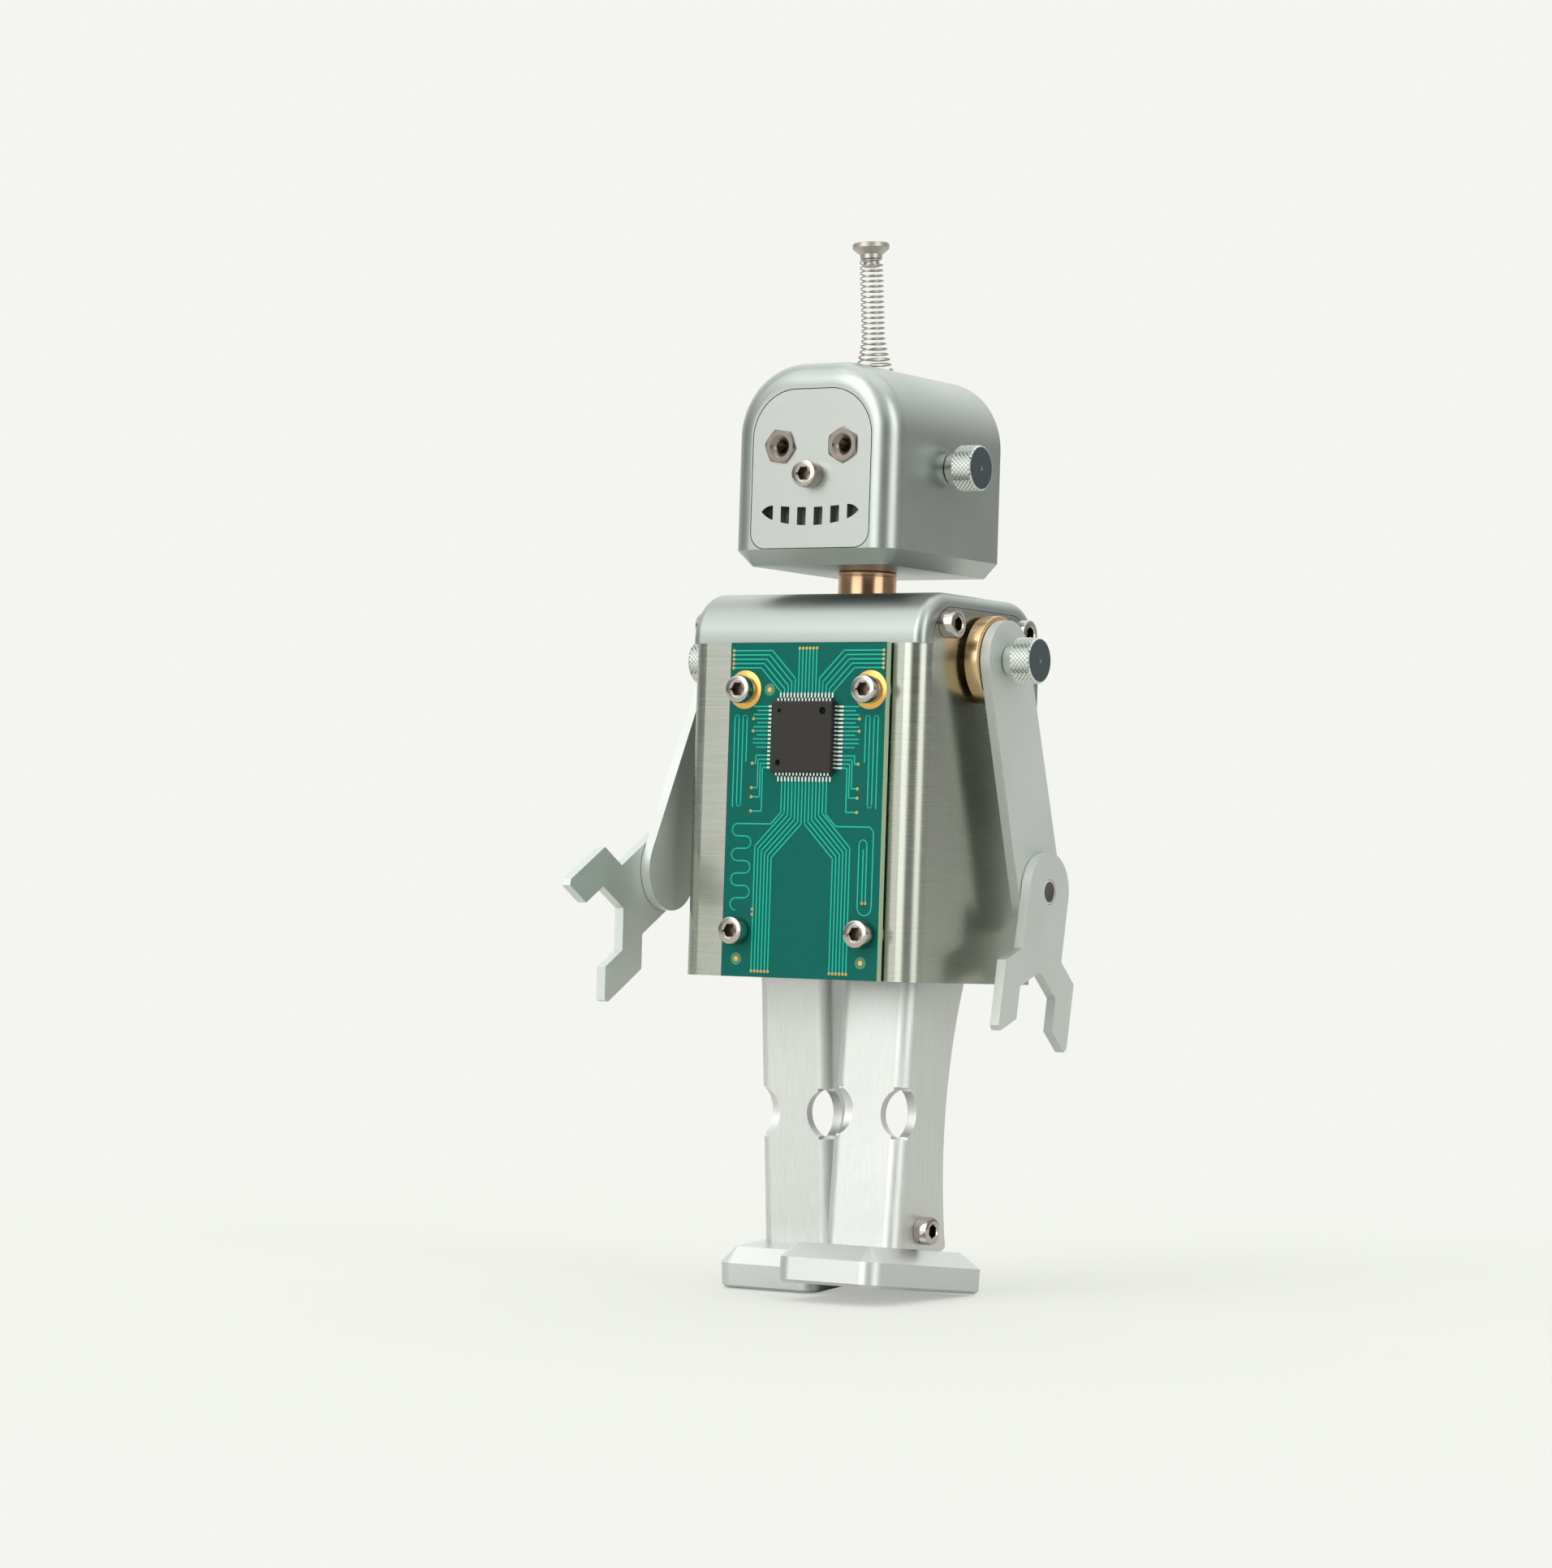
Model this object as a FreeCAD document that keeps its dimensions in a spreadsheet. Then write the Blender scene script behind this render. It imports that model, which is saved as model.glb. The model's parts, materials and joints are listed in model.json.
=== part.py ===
"""Posable metal robot figure: a parametric FreeCAD document, one STEP file per sub-part.

Units are millimetres and degrees. The robot faces -Y, its left side is +X and +Z is up.
Every sub-part is drawn in the frame of the piece that carries it, with the limbs hanging
straight down, and is then put in its standing pose by its Placement.
"""
import FreeCAD, Part

import math
import os
import re

import Sketcher
from FreeCAD import Placement, Rotation, Vector

OUT_DIR = "parts"

# Driving dimensions: alias -> (value, meaning)
SIZES = {
    # pose, in degrees
    "left_leg_swing": (4.0, "left leg forward of the torso"),
    "right_leg_swing": (-5.2, "right leg forward of the torso"),
    "left_arm_swing": (-18.4, "left upper arm forward of the torso"),
    "right_arm_swing": (25.7, "right upper arm forward of the torso"),
    "left_hand_swing": (9.6, "left forearm forward of the torso"),
    "right_hand_swing": (59.5, "right forearm forward of the torso"),
    "antenna_tilt": (-3.6, "antenna sideways from the head's axis"),
    # clearances
    "running_gap": (0.05, "radial clearance of a turning fit"),
    "plate_gap": (0.1, "side clearance between turning plates"),
    "seat_gap": (0.1, "clearance round an inlaid edge"),
    # torso shell
    "torso_width": (54.0, "shell, across the shoulders"),
    "torso_depth": (45.0, "shell, front to back"),
    "shell_height": (65.8, "shell, bottom edge to shoulder block"),
    "sheet_wall": (1.5, "shell sheet thickness"),
    "shell_bend": (4.0, "outer radius of the shell's bends"),
    "tab_height": (7.6, "shell side tab above the front sheet"),
    "tab_inset": (4.0, "tab, in from the front and back"),
    "tab_corner": (7.0, "tab top corner radius"),
    # shoulder block
    "block_height": (10.4, "shoulder block"),
    "block_round": (9.9, "shoulder block long edges"),
    "block_edge": (2.2, "shoulder block end edges"),
    "tab_screw_pitch": (28.0, "side tab screws, front to back"),
    "tab_screw_rise": (4.1, "side tab screws above the front sheet"),
    "neck_bush_width": (11.7, "neck bushing diameter"),
    "neck_height": (5.2, "shoulder block to head"),
    "neck_pin_width": (6.0, "neck pin diameter"),
    "neck_pin_depth": (9.0, "neck pin below the head"),
    # shoulder joint
    "shoulder_drop": (2.1, "shoulder axis below the shell's top edge"),
    "shoulder_shift": (0.5, "shoulder axis behind the middle"),
    "ring_width": (17.6, "shoulder ring diameter"),
    "ring_thick": (3.0, "shoulder ring"),
    "ring_recess_width": (13.4, "recess in the ring's outer face"),
    "ring_recess_depth": (1.4, "recess in the ring's outer face"),
    "ring_foot_width": (10.0, "boss between ring and shell"),
    "ring_standoff": (0.9, "shell to ring"),
    "hub_width": (12.4, "shoulder hub disc"),
    "hub_proud": (0.1, "hub disc beyond the ring"),
    "hub_stem_width": (7.0, "shoulder hub stem"),
    "hub_notch": (1.6, "notch in the hub disc's rim"),
    "hub_nut_flats": (11.0, "nut inside the shell"),
    "hub_nut_thick": (3.0, "nut inside the shell"),
    "hub_nut_well": (1.0, "clearance round a hub nut in the shoulder block"),
    "knob_shank_width": (4.0, "thumb screw shank"),
    "knob_shank_depth": (5.0, "thumb screw shank in the hub or head"),
    "knob_collar_width": (6.1, "thumb screw collar"),
    "knob_collar": (2.2, "thumb screw collar length"),
    "knob_width": (9.2, "thumb screw knurled head"),
    "knob_length": (4.6, "thumb screw knurled head"),
    "knob_edge": (0.7, "thumb screw outer edge"),
    # arms
    "arm_plate": (2.0, "arm plate thickness"),
    "arm_length": (47.5, "shoulder axis to elbow axis"),
    "arm_top_width": (15.8, "upper arm at the shoulder"),
    "arm_low_width": (16.6, "upper arm at the elbow"),
    "elbow_pin_width": (5.0, "elbow pin diameter"),
    "forearm_width": (15.6, "forearm"),
    "forearm_length": (12.7, "elbow axis to where the hand widens"),
    "hand_width": (27.6, "hand"),
    "hand_reach": (30.1, "elbow axis to the finger tips"),
    "jaw_width": (14.4, "gap between the fingers"),
    "jaw_apex": (16.1, "elbow axis to the point of the jaw"),
    "finger_edge": (0.9, "small flat across each finger tip"),
    # hips and legs
    "hip_rise": (40.0, "hip axis above the shell's bottom edge"),
    "hip_shift": (1.0, "hip axis behind the middle"),
    "leg_pitch": (23.8, "leg centre to leg centre"),
    "leg_width": (16.5, "leg channel"),
    "leg_wall": (2.0, "leg channel sheet"),
    "leg_bend": (2.6, "outer radius of the channel's bends"),
    "leg_front": (9.55, "hip axis to the front of the channel"),
    "leg_depth": (20.3, "channel, front to back"),
    "leg_length": (92.7, "hip axis to the foot's top"),
    "leg_top": (9.0, "channel above the hip axis"),
    "calf_waist": (4.1, "depth of the hollow at the back of the leg"),
    "calf_radius": (99.0, "hollow at the back of the leg"),
    "knee_drop": (66.5, "hip axis to the knee holes"),
    "knee_hole": (10.2, "knee hole diameter"),
    "heel_corner": (3.0, "channel's lower back corners"),
    "hip_axle_width": (6.0, "hip axle diameter"),
    "hip_sleeve_width": (9.0, "sleeve on the axle inside a leg"),
    "hip_nut_flats": (10.0, "hip axle nuts"),
    "hip_nut_thick": (4.0, "hip axle nuts"),
    "hanger_depth": (16.0, "hanger, front to back"),
    "hanger_below": (8.0, "hanger below the hip axis"),
    # feet
    "foot_width": (23.2, "foot"),
    "foot_length": (40.0, "foot"),
    "foot_height": (8.0, "foot"),
    "toe_reach": (12.0, "foot ahead of the leg"),
    "foot_chamfer": (3.0, "foot's top edge"),
    "foot_corner": (3.5, "foot's front corners"),
    "sole_edge": (0.6, "foot's bottom edge"),
    "ankle_rise": (3.8, "ankle screws above the foot's top"),
    "ankle_lug_depth": (14.0, "lug inside the channel, front to back"),
    "ankle_lug_height": (7.6, "lug inside the channel"),
    # head
    "head_width": (37.4, "head"),
    "head_depth": (41.4, "head, front to back"),
    "head_height": (40.1, "head"),
    "head_forward": (1.6, "head's middle ahead of the neck"),
    "head_crown": (14.5, "head's long top edges"),
    "head_face_edge": (4.6, "rounding round the front"),
    "chin_chamfer": (3.0, "head's bottom edges, front and sides"),
    "face_width": (27.3, "face plate"),
    "face_height": (31.3, "face plate"),
    "face_rise": (3.2, "face plate above the head's bottom"),
    "face_thick": (2.0, "face plate"),
    "face_gap": (0.18, "gap round the face plate"),
    "face_crown": (9.6, "face plate top corners"),
    "face_corner": (3.2, "face plate bottom corners"),
    "eye_pitch": (14.5, "eye to eye"),
    "eye_rise": (23.3, "eyes above the head's bottom"),
    "eye_flats": (6.4, "eye bushes across the flats"),
    "right_eye_turn": (22.0, "right eye bush, degrees from corner up"),
    "left_eye_turn": (0.0, "left eye bush, degrees from corner up"),
    "eye_proud": (0.5, "eye bushes beyond the face plate"),
    "eye_bore": (2.6, "eye bush bore"),
    "eye_mouth": (4.4, "eye bush countersink"),
    "nose_rise": (17.6, "nose above the head's bottom"),
    "mouth_rise": (9.4, "middle of the mouth above the head's bottom"),
    "mouth_height": (3.6, "mouth at its middle"),
    "mouth_slot": (2.0, "mouth slot width"),
    "mouth_pitch": (3.85, "mouth slot to slot"),
    "mouth_sag": (81.0, "radius of the mouth's top line"),
    "mouth_smile": (34.0, "radius of the mouth's bottom line"),
    "mouth_width": (22.6, "mouth, tip to tip"),
    "mouth_tip_over": (3.0, "radius over each end of the mouth"),
    "mouth_tip_under": (6.0, "radius under each end of the mouth"),
    "mouth_cavity": (4.0, "hollow in the head behind the mouth slots"),
    "ear_rise": (20.4, "ear screws above the head's bottom"),
    # antenna
    "spring_wire": (0.36, "antenna spring wire diameter"),
    "spring_width": (4.8, "antenna spring, upper part"),
    "spring_foot_width": (7.6, "antenna spring at the head"),
    "spring_flare": (7.4, "height of the widening part"),
    "spring_height": (22.6, "antenna spring"),
    "spring_turns": (21.0, "antenna spring"),
    "spring_fixed_turns": (7.25, "lower turns, which stay with the head"),
    "spring_end_gap": (0.03, "turn left open between the two parts of the spring"),
    "cap_width": (7.4, "antenna cap"),
    "cap_rim": (1.1, "antenna cap rim"),
    "cap_cone": (1.1, "antenna cap cone"),
    "cap_neck_width": (4.4, "antenna cap neck"),
    "cap_neck": (1.0, "antenna cap neck"),
    "antenna_gap": (0.35, "antenna above the head"),
    "antenna_core_width": (3.2, "plug inside the spring's top"),
    "antenna_core": (1.4, "plug inside the spring's top"),
    # circuit board
    "board_width": (36.1, "circuit board"),
    "board_drop": (0.0, "circuit board's top edge below the shell's top edge"),
    "board_thick": (1.6, "circuit board"),
    "board_shift": (2.2, "circuit board towards the robot's left"),
    "board_standoff": (0.5, "shell to circuit board"),
    "board_screw_pitch": (29.0, "circuit board screws, across"),
    "board_screw_low": (9.0, "lower board screws above the bottom edge"),
    "board_screw_drop": (9.3, "upper board screws below the board's top edge"),
    "spacer_width": (6.5, "washers under the board"),
    "chip_width": (14.0, "chip body"),
    "chip_thick": (1.7, "chip body"),
    "chip_drop": (18.6, "chip centre below the board's top edge"),
    "chip_lift": (0.15, "chip body off the board"),
    "lead_pitch": (0.8, "chip leads"),
    "lead_count": (16.0, "chip leads on a side"),
    "lead_width": (0.36, "chip lead"),
    "lead_span": (17.4, "chip over the leads' tips"),
    # M3 cap screws
    "cap_head_width": (5.5, "cap screw head"),
    "cap_head_height": (3.0, "cap screw head"),
    "cap_socket_flats": (2.5, "cap screw socket"),
    "cap_socket_depth": (1.6, "cap screw socket"),
    "cap_shank_width": (3.0, "cap screw shank"),
    "cap_shank_length": (5.5, "cap screw shank"),
    "cap_nut_flats": (5.5, "nuts behind the board screws"),
    "cap_nut_thick": (2.2, "nuts behind the board screws"),
}

# Formulas for the bore that an M3 screw passes through and for heights on the circuit board
SCREW_HOLE = "cap_shank_width + 2 * running_gap"
BOARD_TOP = "shell_height - board_drop"
BOARD_SCREW_ROWS = ("board_screw_low", BOARD_TOP + " - board_screw_drop")
CHIP_MIDDLE = BOARD_TOP + " - chip_drop"

DOC = FreeCAD.newDocument("robot_figure")
PARTS = []


def size(alias):
    """The value of a driving dimension."""
    return SIZES[alias][0]


def fill_sheet():
    """Write the driving dimensions to a spreadsheet, one aliased cell each."""
    sheet = DOC.addObject("Spreadsheet::Sheet", "Sizes")
    for row, (alias, (value, meaning)) in enumerate(SIZES.items(), start=1):
        sheet.set("A%d" % row, meaning)
        sheet.set("B%d" % row, str(value))
        sheet.setAlias("B%d" % row, alias)
    DOC.recompute()


def formula(text):
    """Turn alias names in a formula into references to the spreadsheet."""
    def link(match):
        word = match.group(0)
        return "Sizes." + word if word in SIZES else word
    return re.sub(r"[a-z][a-z_]*", link, str(text))


def bind(thing, **formulas):
    """Bind properties of an object to formulas; a double underscore stands for a dot."""
    for name, text in formulas.items():
        thing.setExpression(name.replace("__", "."), formula(text))


# ---------------------------------------------------------------- sketch and feature helpers

def new_body(label):
    """An empty PartDesign body whose label is also its node name."""
    body = DOC.addObject("PartDesign::Body", label)
    body.Label = label
    return body


def origin_plane(body, role):
    """One of a body's own origin planes."""
    return next(item for item in body.Origin.OriginFeatures if item.Role == role)


def new_sketch(body, role, offset="0"):
    """A sketch on an origin plane, moved along the plane's normal."""
    sketch = body.newObject("Sketcher::SketchObject", body.Name + "_sketch")
    sketch.AttachmentSupport = [(origin_plane(body, role), "")]
    sketch.MapMode = "FlatFace"
    bind(sketch, AttachmentOffset__Base__z=offset)
    return sketch


def constrain(sketch, kind, *values, rule, start=1.0):
    """Add a dimension to a sketch, at its drawn value, and bind it to a formula."""
    index = sketch.addConstraint(Sketcher.Constraint(kind, *values, start))
    sketch.setExpression("Constraints[%d]" % index, formula(rule))


def pin_point(sketch, curve, point, across, along):
    """Fix a sketch point at the given formulas, measured from the sketch's origin."""
    drawn = sketch.getPoint(curve, point)
    constrain(sketch, "DistanceX", -1, 1, curve, point, rule=across, start=drawn.x)
    constrain(sketch, "DistanceY", -1, 1, curve, point, rule=along, start=drawn.y)


def polygon(sketch, points):
    """A closed outline of straight lines through points given as pairs of formulas."""
    count = len(points)
    first = sketch.GeometryCount
    start = [Vector(10 * math.cos(2 * math.pi * k / count), 10 * math.sin(2 * math.pi * k / count), 0)
             for k in range(count)]
    for k in range(count):
        sketch.addGeometry(Part.LineSegment(start[k], start[(k + 1) % count]), False)
    for k in range(count):
        sketch.addConstraint(Sketcher.Constraint("Coincident", first + k, 2, first + (k + 1) % count, 1))
    for k, (across, along) in enumerate(points):
        pin_point(sketch, first + k, 1, across, along)


def rectangle(sketch, left, low, right, high):
    """A closed rectangle between two corners given as formulas."""
    polygon(sketch, [(left, low), (right, low), (right, high), (left, high)])


def panel(sketch, half, low, high, low_corner, high_corner):
    """A closed outline, symmetric across, with round corners of two sizes."""
    reach = {1: "(%s)" % half, -1: "-(%s)" % half}
    quarter = math.pi / 2
    corners = [(1, -1, low, low_corner), (1, 1, high, high_corner), (-1, 1, high, high_corner),
               (-1, -1, low, low_corner)]
    first = sketch.GeometryCount
    for k, (side, end, level, corner) in enumerate(corners):
        centre = Vector(8 * side, 8 * end, 0)
        turn = Part.Circle(centre, Vector(0, 0, 1), 2)
        sketch.addGeometry(Part.ArcOfCircle(turn, (k - 1) * quarter, k * quarter), False)
    ends = [[Vector(10 * s, 8 * e, 0), Vector(8 * s, 10 * e, 0)] for s, e, _, _ in corners]
    starts = [ends[0][0], ends[1][1], ends[2][0], ends[3][1]]
    stops = [ends[1][0], ends[2][1], ends[3][0], ends[0][1]]
    for start, stop in zip(starts, stops):
        sketch.addGeometry(Part.LineSegment(start, stop), False)
    for k in range(4):
        line = first + 4 + k
        sketch.addConstraint(Sketcher.Constraint("Coincident", first + k, 2, line, 1))
        sketch.addConstraint(Sketcher.Constraint("Coincident", line, 2, first + (k + 1) % 4, 1))
    for k, (side, end, level, corner) in enumerate(corners):
        flank = (reach[side], "%s %s (%s)" % (level, "+" if end < 0 else "-", corner))
        shelf = ("%s %s (%s)" % (reach[side], "-" if side > 0 else "+", corner), level)
        begin, finish_at = (shelf, flank) if k in (0, 2) else (flank, shelf)
        pin_point(sketch, first + k, 1, *begin)
        pin_point(sketch, first + k, 2, *finish_at)
        constrain(sketch, "DistanceX", -1, 1, first + k, 3, rule=shelf[0], start=8.0 * side)


def arch_trim(sketch, middle, radius, top):
    """The outline left between a half-round arch and the square corners above it."""
    axis = "%s - (%s)" % (top, radius)
    sketch.addGeometry(Part.ArcOfCircle(Part.Circle(Vector(), Vector(0, 0, 1), 10), 0, math.pi), False)
    drawn = [Vector(-10, 0, 0), Vector(-12, 0, 0), Vector(-12, 12, 0), Vector(12, 12, 0), Vector(12, 0, 0),
             Vector(10, 0, 0)]
    for start, stop in zip(drawn, drawn[1:]):
        sketch.addGeometry(Part.LineSegment(start, stop), False)
    for k in range(6):
        sketch.addConstraint(Sketcher.Constraint("Coincident", k, 2, (k + 1) % 6, 1))
    left, right = "%s - (%s)" % (middle, radius), "%s + %s" % (middle, radius)
    rules = [(right, axis), (left, axis), (left + " - 2", axis), (left + " - 2", top + " + 2"),
             (right + " + 2", top + " + 2"), (right + " + 2", axis)]
    for k, (across, along) in enumerate(rules):
        pin_point(sketch, k, 1, across, along)
    constrain(sketch, "DistanceY", -1, 1, 0, 3, rule=axis, start=0.0)


def circle(sketch, across, along, diameter):
    """A circle whose centre and diameter are formulas."""
    index = sketch.addGeometry(Part.Circle(Vector(1, 1, 0), Vector(0, 0, 1), 1.0), False)
    pin_point(sketch, index, 3, across, along)
    constrain(sketch, "Diameter", index, rule=diameter)


def hexagon(sketch, across, along, flats, turn):
    """A regular hexagon, turned by a number of degrees from having a corner up."""
    reach = "(%s) / sqrt(3)" % flats
    points = []
    for k in range(6):
        angle = "((%d + %s) * 1 deg)" % (60 * k + 90, turn)
        points.append(("%s + %s * cos(%s)" % (across, reach, angle),
                       "%s + %s * sin(%s)" % (along, reach, angle)))
    polygon(sketch, points)


def pad(body, sketch, length, both_sides=False, against_normal=False):
    """Add the sketch's outline as material."""
    feature = body.newObject("PartDesign::Pad", body.Name + "_pad")
    feature.Profile = sketch
    bind(feature, Length=length)
    feature.Midplane = both_sides
    feature.Reversed = against_normal
    DOC.recompute()
    return feature


def pocket(body, sketch, length, both_sides=False, along_normal=False):
    """Cut the sketch's outline and make sure that it removed material."""
    before = body.Shape.Volume
    feature = body.newObject("PartDesign::Pocket", body.Name + "_pocket")
    feature.Profile = sketch
    bind(feature, Length=length)
    feature.Midplane = both_sides
    feature.Reversed = along_normal
    DOC.recompute()
    if body.Shape.Volume >= before - 1e-6:
        raise RuntimeError("a pocket of %s removes nothing" % body.Label)
    return feature


def revolve(body, sketch, axis_name):
    """Turn the sketch's outline once round one of the sketch's axes."""
    feature = body.newObject("PartDesign::Revolution", body.Name + "_turned")
    feature.Profile = sketch
    feature.ReferenceAxis = (sketch, [axis_name])
    feature.Angle = 360.0
    DOC.recompute()
    return feature


def edges_where(body, test):
    """Names of the body's edges whose middle point and direction pass a test."""
    found = []
    for number, edge in enumerate(body.Shape.Edges, start=1):
        middle = edge.valueAt((edge.FirstParameter + edge.LastParameter) / 2)
        way = edge.tangentAt((edge.FirstParameter + edge.LastParameter) / 2)
        if test(middle, way, edge):
            found.append("Edge%d" % number)
    if not found:
        raise RuntimeError("no edge of %s passes the test" % body.Label)
    return found


def round_edges(body, test, radius):
    """Fillet the edges that pass a test."""
    base = (body.Tip, edges_where(body, test))
    feature = body.newObject("PartDesign::Fillet", body.Name + "_round")
    feature.Base = base
    bind(feature, Radius=radius)
    DOC.recompute()
    return feature


def bevel_edges(body, test, width):
    """Chamfer the edges that pass a test."""
    base = (body.Tip, edges_where(body, test))
    feature = body.newObject("PartDesign::Chamfer", body.Name + "_bevel")
    feature.Base = base
    bind(feature, Size=width)
    DOC.recompute()
    return feature


def near(value, target, within=0.05):
    """Whether two lengths are the same within a small margin."""
    return abs(value - target) < within


# ---------------------------------------------------------------- frames of the moving groups

def turn_x(degrees):
    """A placement that turns about X."""
    return Placement(Vector(), Rotation(Vector(1, 0, 0), degrees))


def move(x, y, z):
    """A placement that only moves."""
    return Placement(Vector(x, y, z), Rotation())


def standing_lean():
    """Backward lean, in degrees, at which one foot's toe and the other's heel touch the floor."""
    length = size("leg_length") + size("foot_height")
    toe = size("leg_front") + size("toe_reach")
    heel = size("foot_length") - toe
    back, front = sorted(math.radians(size(side + "_leg_swing")) for side in ("left", "right"))
    rise = length * (math.cos(front) - math.cos(back)) + toe * math.sin(back) + heel * math.sin(front)
    run = length * (math.sin(back) - math.sin(front)) + toe * math.cos(back) + heel * math.cos(front)
    return math.degrees(math.atan2(-rise, run))


def torso_frame():
    """The torso's frame, leaning about the hip axis, which lies on the origin."""
    return turn_x(-standing_lean()) * move(0, -size("hip_shift"), -size("hip_rise"))


def head_frame():
    """The head's frame: on the neck axis at the head's bottom."""
    return torso_frame() * move(0, 0, size("shell_height") + size("block_height") + size("neck_height"))


def antenna_frame():
    """The antenna's frame: on the head's top, leaning sideways."""
    tilt = Placement(Vector(), Rotation(Vector(0, 1, 0), size("antenna_tilt")))
    return head_frame() * move(0, 0, size("head_height") + size("antenna_gap")) * tilt


def shoulder_frame():
    """The frame of both shoulders' turning axis."""
    rise = size("shell_height") - size("shoulder_drop")
    return torso_frame() * move(0, size("shoulder_shift"), rise)


def arm_frame(side):
    """An upper arm's frame: on the shoulder axis, with the arm hanging down."""
    return shoulder_frame() * turn_x(-size(side + "_arm_swing"))


def hand_frame(side):
    """A forearm's frame: on the elbow axis."""
    bend = size(side + "_hand_swing") - size(side + "_arm_swing")
    return arm_frame(side) * move(0, 0, -size("arm_length")) * turn_x(-bend)


def leg_frame(side):
    """A leg's frame: on the hip axis at the leg's middle."""
    across = SIDE_SIGN[side] * size("leg_pitch") / 2
    hip = torso_frame() * move(across, size("hip_shift"), size("hip_rise"))
    return hip * turn_x(-size(side + "_leg_swing"))


SIDE_SIGN = {"left": 1, "right": -1}


def finish(item, frame):
    """Put a finished sub-part in its frame and list it for export."""
    DOC.recompute()
    item.Placement = frame * item.Placement
    PARTS.append(item)
    return item


# ---------------------------------------------------------------- shared hardware

def primitive(kind, name, **formulas):
    """A Part primitive with its sizes bound to formulas."""
    item = DOC.addObject("Part::" + kind, name)
    bind(item, **formulas)
    return item


def combine(kind, name, base, tool):
    """A boolean of two objects."""
    item = DOC.addObject("Part::" + kind, name)
    item.Base = base
    item.Tool = tool
    return item


def hex_prism(name, flats, height):
    """A hexagonal prism along Z."""
    item = DOC.addObject("Part::Prism", name)
    item.Polygon = 6
    bind(item, Circumradius="(%s) / sqrt(3)" % flats, Height=height)
    return item


def cap_screw(name, place, shank="cap_shank_length"):
    """A socket cap screw along Z: its head stands on z = 0 and its shank goes down."""
    head = primitive("Cylinder", name + "_head", Radius="cap_head_width / 2", Height="cap_head_height")
    stem = primitive("Cylinder", name + "_shank", Radius="cap_shank_width / 2", Height=shank,
                     Placement__Base__z="-(%s)" % shank)
    whole = combine("Fuse", name + "_blank", head, stem)
    socket = hex_prism(name + "_socket", "cap_socket_flats", "cap_socket_depth")
    bind(socket, Placement__Base__z="cap_head_height - cap_socket_depth")
    screw = combine("Cut", name, whole, socket)
    screw.Placement = place
    return screw


def hex_nut(name, flats, height, bore, place):
    """A hexagon nut along Z, its lower face on z = 0."""
    blank = hex_prism(name + "_blank", flats, height)
    hole = primitive("Cylinder", name + "_bore", Radius="(%s) / 2 + running_gap" % bore, Height=height)
    nut = combine("Cut", name, blank, hole)
    nut.Placement = place
    return nut


def group(label, members, frame):
    """Several like pieces that share one node."""
    item = DOC.addObject("Part::Compound", label)
    item.Label = label
    item.Links = members
    return finish(item, frame)


def facing(side_or_front, x, y, z):
    """A placement that turns +Z to face sideways or to the front."""
    turns = {"left": Rotation(Vector(0, 1, 0), 90), "right": Rotation(Vector(0, 1, 0), -90),
             "front": Rotation(Vector(1, 0, 0), 90)}
    return Placement(Vector(x, y, z), turns[side_or_front])


def turned_piece(label, outline):
    """A body turned round Z from a half outline of (radius, height) formulas."""
    body = new_body(label)
    sketch = new_sketch(body, "XZ_Plane")
    polygon(sketch, outline)
    revolve(body, sketch, "V_Axis")
    return body


def thumb_screw(label, shank_depth):
    """A thumb screw along Z: its collar stands on z = 0 and its shank goes down."""
    shank, collar, head = "knob_shank_width / 2 - running_gap", "knob_collar_width / 2", "knob_width / 2"
    top = "knob_collar + knob_length"
    body = turned_piece(label, [
        ("0", "-(%s)" % shank_depth), (shank, "-(%s)" % shank_depth), (shank, "0"),
        (collar, "0"), (collar, "knob_collar"), (head + " - 0.4", "knob_collar"),
        (head, "knob_collar + 0.4"), (head, top + " - knob_edge"),
        (head + " - knob_edge", top), ("0", top)])
    return body


# ---------------------------------------------------------------- torso

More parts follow.
